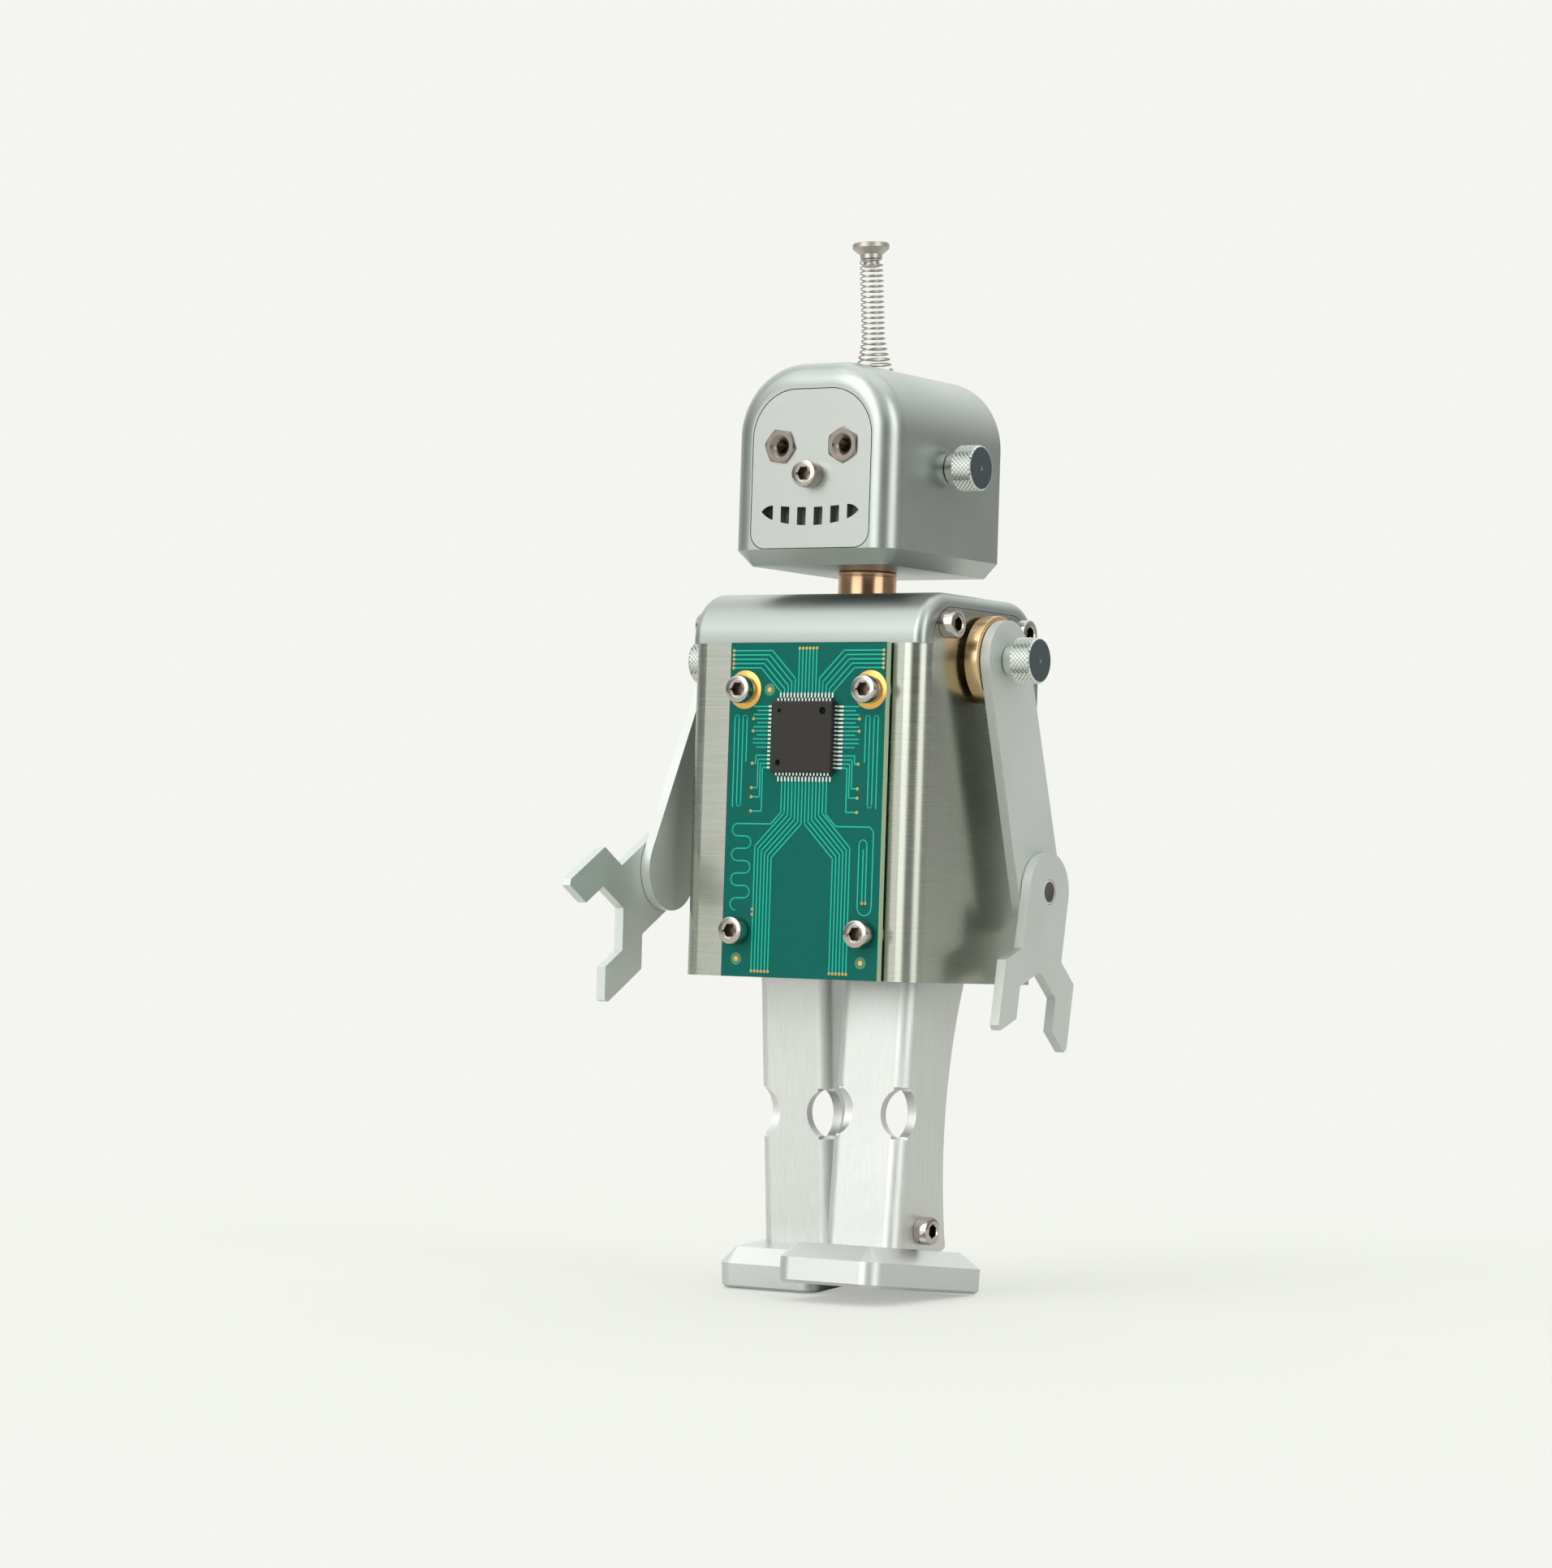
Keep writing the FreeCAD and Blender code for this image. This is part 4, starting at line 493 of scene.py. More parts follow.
def turned(name: str, profile: Profile, segments: int = 64, ring: bool = False) -> bpy.types.Object:
    """Model a turned piece round Z by extruding a circle up its profile.

    Args:
        name: the new object's name.
        profile: (radius, height) in millimetres, from the bottom, in order along the surface.
        segments: facets round the axis.
        ring: True where the profile closes on itself round an open bore.

    Returns:
        The new object, with its axis on Z.
    """
    deselect_all()
    radius, height = profile[0]
    bpy.ops.mesh.primitive_circle_add(vertices=segments, radius=radius * MM, location=(0, 0, height * MM),
                                      fill_type="NOTHING" if ring else "NGON")
    piece = bpy.context.object
    piece.name = name
    apply_place()
    bpy.ops.object.mode_set(mode="EDIT")
    bpy.ops.mesh.select_mode(type="VERT")
    bpy.ops.mesh.select_all(action="SELECT")
    steps = list(profile[1:]) + ([profile[0]] if ring else [])
    for new_radius, new_height in steps:
        bpy.ops.mesh.extrude_region_move(
            TRANSFORM_OT_translate={"value": (0, 0, (new_height - height) * MM)})
        if new_radius != radius:
            ratio = new_radius / radius
            bpy.ops.transform.resize(value=(ratio, ratio, 1), center_override=(0, 0, new_height * MM))
        radius, height = new_radius, new_height
    bpy.ops.mesh.select_all(action="SELECT")
    bpy.ops.mesh.remove_doubles(threshold=0.0001 * MM)
    bpy.ops.mesh.normals_make_consistent(inside=False)
    object_mode()
    smooth_below(piece, 32)
    return piece


class Keep(Enum):
    """Which part of a piece a boolean keeps."""

    OUTSIDE = "DIFFERENCE"
    INSIDE = "INTERSECT"


def cut(piece: bpy.types.Object, cutter: bpy.types.Object, keep: Keep = Keep.OUTSIDE) -> None:
    """Cut a piece with a solid and remove the solid.

    Args:
        piece: the piece that is cut.
        cutter: the closed solid that cuts it.
        keep: the part of the piece that stays.
    """
    modifier = piece.modifiers.new("cut", "BOOLEAN")
    modifier.object = cutter
    modifier.operation = keep.value
    modifier.solver = "EXACT"
    apply_modifiers(piece)
    bpy.data.objects.remove(cutter, do_unlink=True)


def prism(sides: int, radius: float, low: float, high: float, corner_turn: float = 0.0,
          across: tuple[float, float] = (0.0, 0.0)) -> bpy.types.Object:
    """Model a plain prism along Z, in millimetres, to cut with.

    Args:
        sides: number of sides.
        radius: distance of its corners from its axis.
        low: height of its bottom.
        high: height of its top.
        corner_turn: turn round its axis in degrees.
        across: place of its axis.

    Returns:
        The prism.
    """
    deselect_all()
    bpy.ops.mesh.primitive_cylinder_add(
        vertices=sides, radius=radius * MM, depth=(high - low) * MM,
        location=(across[0] * MM, across[1] * MM, (high + low) / 2 * MM),
        rotation=(0, 0, math.radians(corner_turn)))
    cutter = bpy.context.object
    apply_place()
    return cutter


def dress(piece: bpy.types.Object, *materials: bpy.types.Material) -> None:
    """Give a piece its materials, the first one all over.

    Args:
        piece: the piece to dress.
        materials: its materials in order.
    """
    piece.data.materials.clear()
    for material in materials:
        piece.data.materials.append(material)


def paint_faces(piece: bpy.types.Object, index: int, test: Callable[[Vector, Vector], bool]) -> None:
    """Give some of a piece's faces another of its materials.

    Args:
        piece: the dressed piece.
        index: the material's number in the piece.
        test: takes a face's centre and normal and says whether to paint it.
    """
    for face in piece.data.polygons:
        if test(face.center, face.normal):
            face.material_index = index


def put(piece: bpy.types.Object, place: Matrix) -> bpy.types.Object:
    """Move a piece modelled about the origin to its place and apply that to its mesh.

    Args:
        piece: the piece to move.
        place: its place and turn.

    Returns:
        The same piece.
    """
    piece.matrix_world = place
    select_only(piece)
    apply_place()
    return piece


def join(name: str, pieces: Sequence[bpy.types.Object]) -> bpy.types.Object:
    """Join pieces into one object.

    Args:
        name: the object's name.
        pieces: the pieces to join.

    Returns:
        The joined object.
    """
    select_only(*pieces)
    if len(pieces) > 1:
        bpy.ops.object.join()
    pieces[0].name = name
    return pieces[0]


def copies(piece: bpy.types.Object, places: Sequence[Matrix]) -> bpy.types.Object:
    """Put one copy of a piece at each place, each with its own mesh, and join them into one object.

    Args:
        piece: the piece that is copied, which is then removed.
        places: places and turns of the copies.

    Returns:
        The joined copies, under the piece's name.
    """
    made = []
    for place in places:
        twin = piece.copy()
        twin.data = piece.data.copy()
        bpy.context.scene.collection.objects.link(twin)
        made.append(put(twin, place))
    name = piece.name
    bpy.data.objects.remove(piece, do_unlink=True)
    return join(name, made)


def mount(piece: bpy.types.Object, body: str, slot: str, *nodes: str) -> bpy.types.Object:
    """Let a finished piece ride a body and stand for CAD nodes.

    Args:
        piece: the finished piece, in place.
        body: the CAD body that carries it.
        slot: the record's material slot; not used.
        nodes: the CAD nodes that it replaces, if any.

    Returns:
        The piece.
    """
    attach(piece, body)
    if nodes:
        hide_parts(*nodes)
    LOG.info("%s: %d faces on %s", piece.name, len(piece.data.polygons), body)
    return piece


# ---------------------------------------------------------------- local frames

JOINTS = {joint["name"]: joint for joint in frame["record"]["behaviour"]["joints"]}
MOUNTS = {item["name"]: item for item in frame["record"]["mounts"]}
SIGN = {"left": 1, "right": -1}


def frame_at(origin: Vector, x_axis: Vector, y_axis: Vector, z_axis: Vector) -> Matrix:
    """Frame at a point, in metres, with the given unit axes."""
    return Matrix.Translation(origin) @ Matrix((x_axis, y_axis, z_axis)).transposed().to_4x4()


def upright_frame(origin: Vector, up: Vector) -> Matrix:
    """A frame at a point with X level across the robot.

    Args:
        origin: the point, in metres.
        up: direction of the frame's Z.

    Returns:
        The frame.
    """
    z_axis = up.normalized()
    y_axis = z_axis.cross(Vector((1, 0, 0))).normalized()
    return frame_at(origin, y_axis.cross(z_axis), y_axis, z_axis)


def spot(x: float, y: float, z: float) -> Matrix:
    """A move by millimetres."""
    return Matrix.Translation(Vector((x, y, z)) * MM)


def turn_only(place: Matrix) -> Matrix:
    """A frame's turn without its place."""
    return place.to_3x3().to_4x4()


def facing(side: str) -> Matrix:
    """A turn that points +Z to one side of the robot.

    Args:
        side: "left", "right" or "front".

    Returns:
        The turn.
    """
    turns = {"left": Matrix.Rotation(math.pi / 2, 4, "Y"), "right": Matrix.Rotation(-math.pi / 2, 4, "Y"),
             "front": Matrix.Rotation(math.pi / 2, 4, "X")}
    return turns[side]


def joint_place(name: str) -> Vector:
    """Where a joint's axis passes, in metres."""
    return Vector(JOINTS[name]["pos_m"])


@dataclass
class Frames:
    """Local frames of the carried groups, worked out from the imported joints.

    Attributes:
        neck_rise: height of the neck joint above the shell's bottom edge.
        hinge_rise: height of the antenna's hinge above the spring's foot.
        torso: frame on the shell's bottom edge.
        head: frame on the neck joint.
        antenna: frame on the spring's foot, with Z along the spring.
    """

    neck_rise: float = 81.4
    hinge_rise: float = 7.858
    torso: Matrix = field(init=False)
    head: Matrix = field(init=False)
    antenna: Matrix = field(init=False)

    def __post_init__(self) -> None:
        """Work the frames out."""
        self.head = upright_frame(joint_place("neck_turn"), Vector(JOINTS["neck_turn"]["axis"]))
        self.torso = self.head @ spot(0, 0, -self.neck_rise)
        hinge = joint_place("antenna_bend")
        low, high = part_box("antenna_cap")
        z_axis = ((low + high) / 2 - hinge).normalized()
        x_axis = Vector(JOINTS["antenna_bend"]["axis"]).normalized().cross(z_axis)
        upright = frame_at(hinge, x_axis, z_axis.cross(x_axis), z_axis)
        self.antenna = upright @ spot(0, 0, -self.hinge_rise)

    def leg(self, side: str) -> Matrix:
        """Frame of a leg, on the hip axis."""
        return upright_frame(joint_place("hip_" + side), -Vector(MOUNTS["sole_" + side]["axis"]))

    def outwards(self, joint: str, side: str) -> Matrix:
        """Frame on a side joint's axis at the robot's middle, with Z out of the robot's side.

        Args:
            joint: the joint's name.
            side: "left" or "right".

        Returns:
            The frame.
        """
        place = joint_place(joint)
        return Matrix.Translation(Vector((0, place.y, place.z))) @ turn_only(self.torso) @ facing(side)


# ---------------------------------------------------------------- small hardware

@dataclass
class CapScrew:
    """Socket cap screw with a rounded rim and a hexagon socket.

    Attributes:
        head_width: diameter of the head.
        head_height: height of the head.
        rim: how far the head's upper edge is rounded.
        under_rim: how far its lower edge is broken.
        socket_flats: width of the socket across its flats.
        socket_depth: depth of the socket below the top.
        lead_in: width of the slope round the socket.
        dish: how far the top sinks over that slope.
        shank_width: diameter of the shank.
        shank_chamfer: chamfer of the shank's end.
    """

    head_width: float = 5.5
    head_height: float = 3.0
    rim: float = 0.35
    under_rim: float = 0.12
    socket_flats: float = 2.55
    socket_depth: float = 1.7
    lead_in: float = 0.42
    dish: float = 0.18
    shank_width: float = 3.0
    shank_chamfer: float = 0.25

    def model(self, name: str, shank: float) -> bpy.types.Object:
        """Model one screw about the origin: the head stands on z = 0 and the shank goes down.

        Args:
            name: the new object's name.
            shank: length of the shank in millimetres.

        Returns:
            The screw.
        """
        head, stem, top = self.head_width / 2, self.shank_width / 2, self.head_height
        socket = self.socket_flats / 2
        profile = [(stem - self.shank_chamfer, -shank), (stem, -shank + self.shank_chamfer), (stem, 0.0),
                   (head - self.under_rim, 0.0), (head, self.under_rim), (head, top - self.rim),
                   (head - self.rim * 0.3, top - self.rim * 0.3), (head - self.rim, top),
                   (socket + self.lead_in, top), (socket + 0.16, top - self.dish), (0.02, top - self.dish)]
        screw = turned(name, profile, 40)
        cut(screw, prism(6, self.socket_flats / math.sqrt(3), top - self.socket_depth, top + 1.0, 30))
        smooth_below(screw, 25)
        return screw

    def dressed(self, name: str, shank: float, materials: Materials) -> bpy.types.Object:
        """Model one screw about the origin, plated all over, with painted shade inside its socket.

        Args:
            name: the new object's name.
            shank: length of the shank in millimetres.
            materials: built materials by short name.

        Returns:
            The screw.
        """
        screw = self.model(name, shank)
        # The faces inside the socket get painted shade.
        dress(screw, materials["screw"], materials["socket"])
        reach = (self.socket_flats / math.sqrt(3) + 0.03) * MM
        top = (self.head_height - self.dish - 0.02) * MM
        paint_faces(screw, 1, lambda place, normal: math.hypot(place.x, place.y) < reach
                    and 0 < place.z < top)
        return screw


@dataclass
class ThumbScrew:
    """Thumb screw with a plain collar and a diamond-knurled head.

    Attributes:
        shank_width: diameter of the shank.
        collar_width: diameter of the collar.
        collar: height of the collar.
        head_width: diameter over the knurl's tips.
        head_length: length of the head.
        edge: chamfer of the head's outer edge.
        face_rim: further step in from that chamfer to the flat end face.
        knurl_rows: rows of diamond tips along the head.
        knurl_teeth: places round the head, every second one a tip.
        knurl_depth: height of the tips.
    """

    shank_width: float = 3.9
    collar_width: float = 6.1
    collar: float = 2.2
    head_width: float = 9.2
    head_length: float = 4.6
    edge: float = 0.3
    face_rim: float = 0.12
    knurl_rows: int = 10
    knurl_teeth: int = 60
    knurl_depth: float = 0.3

    @property
    def top(self) -> float:
        """Height of the end face."""
        return self.collar + self.head_length

    @property
    def face_radius(self) -> float:
        """Radius of the flat end face."""
        return self.head_width / 2 - self.edge - self.face_rim

    @property
    def root(self) -> float:
        """Radius at the bottom of the knurl."""
        return self.head_width / 2 - self.knurl_depth

    @property
    def flank(self) -> tuple[float, float]:
        """Heights between which the head is knurled."""
        return self.collar + 0.35, self.top - self.edge

    @property
    def row_spacing(self) -> float:
        """Distance between rows of the knurl."""
        low, high = self.flank
        return (high - low) / (self.knurl_rows - 1)

    def is_tip(self, place: Vector) -> bool:
        """Tell whether a vertex is a tip: every second one of a row, offset from row to row.

        Args:
            place: the vertex's place in metres.

        Returns:
            True for a tip of the knurl.
        """
        rise = place.z / MM - self.flank[0]
        row = round(rise / self.row_spacing)
        on_row = 0 <= row < self.knurl_rows and abs(rise - row * self.row_spacing) < 0.01
        on_root = abs(math.hypot(place.x, place.y) / MM - self.root) < 0.02
        tooth = round(math.atan2(place.y, place.x) / (2 * math.pi / self.knurl_teeth))
        return on_row and on_root and (tooth + row) % 2 == 0

    def model(self, name: str, shank: float) -> bpy.types.Object:
        """Model one thumb screw about the origin, its collar standing on z = 0.

        Args:
            name: the new object's name.
            shank: length of the shank in millimetres.

        Returns:
            The thumb screw.
        """
        stem, collar, head, top = self.shank_width / 2, self.collar_width / 2, self.head_width / 2, self.top
        low, high = self.flank
        profile = [(stem, -shank), (stem, 0.0), (collar - 0.1, 0.0), (collar, 0.1), (collar, self.collar),
                   (self.root - 0.55, self.collar)]
        profile += [(self.root, low + self.row_spacing * row) for row in range(self.knurl_rows)]
        profile += [(head - self.edge, top - 0.04), (self.face_radius, top), (0.62, top),
                    (0.34, top - 0.24), (0.05, top - 0.3)]
        knob = turned(name, profile, self.knurl_teeth)
        pick(knob, "VERT", self.is_tip)
        grow = head / self.root
        bpy.ops.transform.resize(value=(grow, grow, 1), center_override=(0, 0, 0))
        object_mode()
        pick(knob, "FACE", lambda place: low * MM < place.z < high * MM
             and math.hypot(place.x, place.y) > 0.9 * self.root * MM)
        bpy.ops.mesh.quads_convert_to_tris(quad_method="SHORTEST_DIAGONAL", ngon_method="BEAUTY")
        object_mode()
        smooth_below(knob, 14)
        return knob

    def dressed(self, name: str, shank: float, materials: Materials) -> bpy.types.Object:
        """Model one thumb screw about the origin, with a pale flank and a painted dark reflection on its end
        face.

        Args:
            name: the new object's name.
            shank: length of the shank in millimetres.
            materials: built materials by short name.

        Returns:
            The thumb screw.
        """
        knob = self.model(name, shank)
        # The flat end face gets a darker copy of the plated steel: a painted reflection of the dim room.
        dress(knob, materials["knob"], materials["knob_face_painted_reflection"])
        paint_faces(knob, 1, lambda place, normal: normal.z > 0.6 and place.z > (self.top - 0.4) * MM
                    and math.hypot(place.x, place.y) < self.face_radius * MM)
        return knob


@dataclass
class Hardware:
    """The screws, thumb screws, rings and hubs that are seen on the outside.

    Attributes:
        frames: local frames of the carried groups.
        materials: built materials by short name.
        screw: shape of the cap screws.
        knob: shape of the thumb screws.
        torso_half: half width of the torso, where the side screws' heads stand.
        tab_screw_y: distance of the side screws from the torso's middle, front and back.
        tab_screw_z: height of the side screws over the shell's bottom edge.
        board_face: distance of the board's front from the torso's middle.
        board_screw_x: places of the board's screws across.
        board_screw_z: heights of the board's screws.
        ring_face: distance of the rings' outer face from the robot's middle.
        ring_thickness: thickness of a ring's rim.
        ring_radii: radii of a ring's bore, foot, outer dish and rim.
        hub_face: distance of the hubs' outer face from the robot's middle.
        hub_root: distance of the hubs' inner end from the robot's middle.
        hub_radii: radii of a hub's bore, stem and disc.
        hub_notch: size of the notch in a hub's disc.
        shoulder_knob_x: distance of the shoulder thumb screws' collars from the robot's middle.
        ear_place: distance of the ear screws' collars from the head's middle, and their height.
        pin_rim: radius of an elbow pin.
        pin_length: length of an elbow pin.
        leg_half: distance of the ankle screws' heads from the leg's middle.
        ankle_z: height of the ankle screws under the hip.
    """

    frames: Frames
    materials: Materials
    screw: CapScrew = field(default_factory=CapScrew)
    knob: ThumbScrew = field(default_factory=ThumbScrew)
    torso_half: float = 27.0
    tab_screw_y: float = 14.0
    tab_screw_z: float = 69.9
    board_face: float = 24.6
    board_screw_x: tuple[float, float] = (-12.3, 16.7)
    board_screw_z: tuple[float, float] = (9.0, 56.5)
    ring_face: float = 30.9
    ring_thickness: float = 3.0
    ring_radii: tuple[float, float, float, float] = (3.5, 5.0, 6.7, 8.8)
    hub_face: float = 31.0
    hub_root: float = 22.5
    hub_radii: tuple[float, float, float] = (2.0, 3.5, 6.2)
    hub_notch: tuple[float, float, float] = (2.8, 1.6, 1.4)
    shoulder_knob_x: float = 33.2
    ear_place: tuple[float, float] = (18.8, 20.4)
    pin_rim: float = 2.5
    pin_length: float = 4.1
    leg_half: float = 8.25
    ankle_z: float = -88.9

    def build(self) -> None:
        """Make every screw, thumb screw, ring and hub."""
        self.cap_screws()
        for side in SIGN:
            self.ring(side)
            self.hub(side)
            self.shoulder_knob(side)
            self.elbow(side)
            self.ear(side)
            self.ankle(side)

    def cap_screws(self) -> None:
        """Make the torso's side screws and the circuit board's screws."""
        torso = self.frames.torso
        places = [torso @ spot(sign * self.torso_half, y, self.tab_screw_z) @ facing(side)
                  for side, sign in SIGN.items() for y in (-self.tab_screw_y, self.tab_screw_y)]
        group = copies(self.screw.dressed("tab_cap_screws", 1.5, self.materials), places)
        mount(group, "torso", "screw_steel", "tab_screws")
        places = [torso @ spot(x, -self.board_face, z) @ facing("front")
                  for x in self.board_screw_x for z in self.board_screw_z]
        group = copies(self.screw.dressed("board_cap_screws", 5.8, self.materials), places)
        mount(group, "torso", "screw_steel", "board_screws")

    def ring(self, side: str) -> None:
        """Make the bearing ring of one shoulder, dished outside.

        Args:
            side: "left" or "right".
        """
        bore, foot, dish, rim = self.ring_radii
        face, back = self.ring_face, self.ring_face - self.ring_thickness
        ring = turned("shoulder_bearing_ring_" + side, [
            (bore, self.torso_half), (foot, self.torso_half), (foot, back), (rim - 0.15, back),
            (rim, back + 0.15), (rim, face - 0.3), (rim - 0.08, face - 0.1), (rim - 0.3, face),
            (dish + 0.25, face), (dish, face - 0.25), (dish, face - 1.4), (bore, face - 1.4)], 96, ring=True)
        dress(ring, self.materials["bronze"])
        place = self.frames.outwards("shoulder_" + side, side)
        mount(put(ring, place), "torso", "bronze", "shoulder_ring_" + side)

    def hub(self, side: str) -> None:
        """Make the hub of one shoulder, a notched disc on a stem.

        Args:
            side: "left" or "right".
        """
        hole, stem, disc = self.hub_radii
        top, back = self.hub_face, self.hub_face - 1.5
        hub = turned("shoulder_hub_disc_" + side, [
            (stem, self.hub_root), (stem, back), (disc, back), (disc, top - 0.2), (disc - 0.2, top),
            (hole + 0.3, top), (hole, top - 0.3), (hole, top - 5.0), (0.05, top - 5.0)], 72)
        deselect_all()
        bpy.ops.mesh.primitive_cube_add(size=1.0, location=(disc * MM, 0, top * MM))
        notch = bpy.context.object
        bpy.ops.transform.resize(value=[size * MM for size in self.hub_notch])
        apply_place()
        cut(hub, notch)
        dress(hub, self.materials["copper"])
        place = self.frames.outwards("shoulder_" + side, side)
        mount(put(hub, place), "torso", "copper", "shoulder_hub_" + side)

    def shoulder_knob(self, side: str) -> None:
        """Make the thumb screw of one shoulder.

        Args:
            side: "left" or "right".
        """
        knob = self.knob.dressed("shoulder_thumb_screw_" + side, 6.7, self.materials)
        place = self.frames.outwards("shoulder_" + side, side) @ spot(0, 0, self.shoulder_knob_x)
        mount(put(knob, place), "shoulder_knob_" + side, "knob_steel", "shoulder_knob_" + side)

    def ear(self, side: str) -> None:
        """Make the thumb screw in one side of the head.

        Args:
            side: "left" or "right".
        """
        knob = self.knob.dressed("ear_thumb_screw_" + side, 5.0, self.materials)
        out, rise = self.ear_place
        place = self.frames.head @ spot(SIGN[side] * out, 0, rise) @ facing(side)
        mount(put(knob, place), "ear_knob_" + side, "knob_steel", "ear_knob_" + side)

    def elbow(self, side: str) -> None:
        """Make one elbow pin: dished and blackened outside, dressed level with the arm inside.

        Args:
            side: "left" or "right".
        """
        low = self.hub_face + 0.1
        high, rim = low + self.pin_length, self.pin_rim
        pin = turned("elbow_pin_turned_" + side, [
            (rim, low), (rim, high - 0.12), (rim - 0.12, high), (rim - 0.45, high), (rim - 0.6, high - 0.12),
            (0.5, high - 0.2), (0.03, high - 0.2)], 64)
        dress(pin, self.materials["arm"], self.materials["pin"])
        paint_faces(pin, 1, lambda place, normal: normal.z > 0.3 and place.z > (high - 1.0) * MM
                    and math.hypot(place.x, place.y) < (rim - 0.3) * MM)
        place = self.frames.outwards("elbow_" + side, side)
        mount(put(pin, place), "arm_" + side, "dark_pin", "elbow_pin_" + side)

    def ankle(self, side: str) -> None:
        """Make the cap screw of one ankle.

        Args:
            side: "left" or "right".
        """
        screw = self.screw.dressed("ankle_cap_screw_" + side, 14.5, self.materials)
        place = self.frames.leg(side) @ spot(SIGN[side] * self.leg_half, 0, self.ankle_z) @ facing(side)
        mount(put(screw, place), "leg_" + side, "screw_steel", "ankle_screw_" + side)


# ---------------------------------------------------------------- head and antenna

@dataclass
class HeadDetails:
    """Neck bushing, eye bushes and nose screw.

    Attributes:
        frames: local frames of the carried groups.
        materials: built materials by short name.
        face_y: the face plate's front, from the neck's axis.
        eye_x: distance of the eyes from the head's middle.
        eye_z: height of the eyes over the neck joint.
        eye_flats: width of an eye bush across its flats.
        eye_proud: how far it stands out of the face.
        eye_depth: how far it reaches into the head.
        eye_bore: radius of its bore.
        eye_turns: turns of the right and left bush in degrees.
        thread_pitch: distance between the thread's rings.
        nose_z: height of the nose screw.
        bush_width: diameter of the neck bushing.
        bush_height: height of the neck bushing.
        bush_bore: radius of its bore.
        bush_foot: height of its foot over the shell's bottom edge.
    """

    frames: Frames
    materials: Materials
    face_y: float = -22.3
    eye_x: float = 7.25
    eye_z: float = 23.3
    eye_flats: float = 6.4
    eye_proud: float = 0.5
    eye_depth: float = 6.5
    eye_bore: float = 1.3
    eye_turns: tuple[float, float] = (22.0, 0.0)
    thread_pitch: float = 0.5
    nose_z: float = 17.6
    bush_width: float = 11.7
    bush_height: float = 5.1
    bush_bore: float = 3.05
    bush_foot: float = 76.2

    def build(self) -> None:
        """Make the neck bushing, eyes and nose."""
        self.neck()
        self.eyes()
        nose = CapScrew().dressed("nose_cap_screw", 5.5, self.materials)
        place = self.frames.head @ spot(0, self.face_y, self.nose_z) @ facing("front")
        mount(put(nose, place), "head", "screw_steel", "nose_screw")

    def neck(self) -> None:
        """Make the bronze bushing, with a fine groove near its top."""
        rim, bore, high = self.bush_width / 2, self.bush_bore, self.bush_height
        bush = turned("neck_bush_turned", [
            (bore, 0.0), (rim - 0.15, 0.0), (rim, 0.15), (rim, high - 0.95), (rim - 0.12, high - 0.88),
            (rim - 0.12, high - 0.78), (rim, high - 0.7), (rim, high - 0.15), (rim - 0.15, high),
            (bore, high)], 96, ring=True)
        # The bushing's darker copy of the bronze carries painted shade; its lower roughness is the real
        # deeper polish.
        dress(bush, self.materials["neck"])
        mount(put(bush, self.frames.torso @ spot(0, 0, self.bush_foot)), "torso", "bronze", "neck_bushing")

    def eye(self) -> bpy.types.Object:
        """Model one hexagonal bush about the origin, its front face towards +Z.

        Returns:
            The bush.
        """
        corner, front = self.eye_flats / math.sqrt(3), self.eye_proud
        profile = [(corner + 0.02, -self.eye_depth), (corner + 0.02, front - 0.42),
                   (self.eye_flats / 2 - 0.1, front), (2.25, front), (1.85, front - 0.3),
                   (self.eye_bore, front - 0.95)]
        profile += self.thread(front - 0.95) + [(0.05, 1.0 - self.eye_depth)]
        bush = turned("eye_hexagon_bushes", profile, 60)
        cut(bush, prism(6, corner, -10.0, 10.0), Keep.INSIDE)
        smooth_below(bush, 25)
        return bush

    def thread(self, top: float) -> list[tuple[float, float]]:
        """Profile of the bore's thread, as fine rings going down.

        Args:
            top: height at which the thread starts.

        Returns:
            The profile's points, down to the bore's end.
        """
        rings = []
        height = top
        while height > 1.6 - self.eye_depth:
            rings += [(self.eye_bore + 0.12, height - self.thread_pitch / 2),
                      (self.eye_bore, height - self.thread_pitch)]
            height -= self.thread_pitch
        return rings + [(self.eye_bore, 1.0 - self.eye_depth)]

    def eyes(self) -> None:
        """Make both bushes, turned as they were screwed home."""
        places = [self.frames.head @ spot(side * self.eye_x, self.face_y, self.eye_z) @ facing("front")
                  @ Matrix.Rotation(math.radians(turn), 4, "Z")
                  for side, turn in zip((-1, 1), self.eye_turns)]
        pair = copies(self.eye(), places)
        dress(pair, self.materials["eye"])
        mount(pair, "head", "nickel", "eye_bushes")


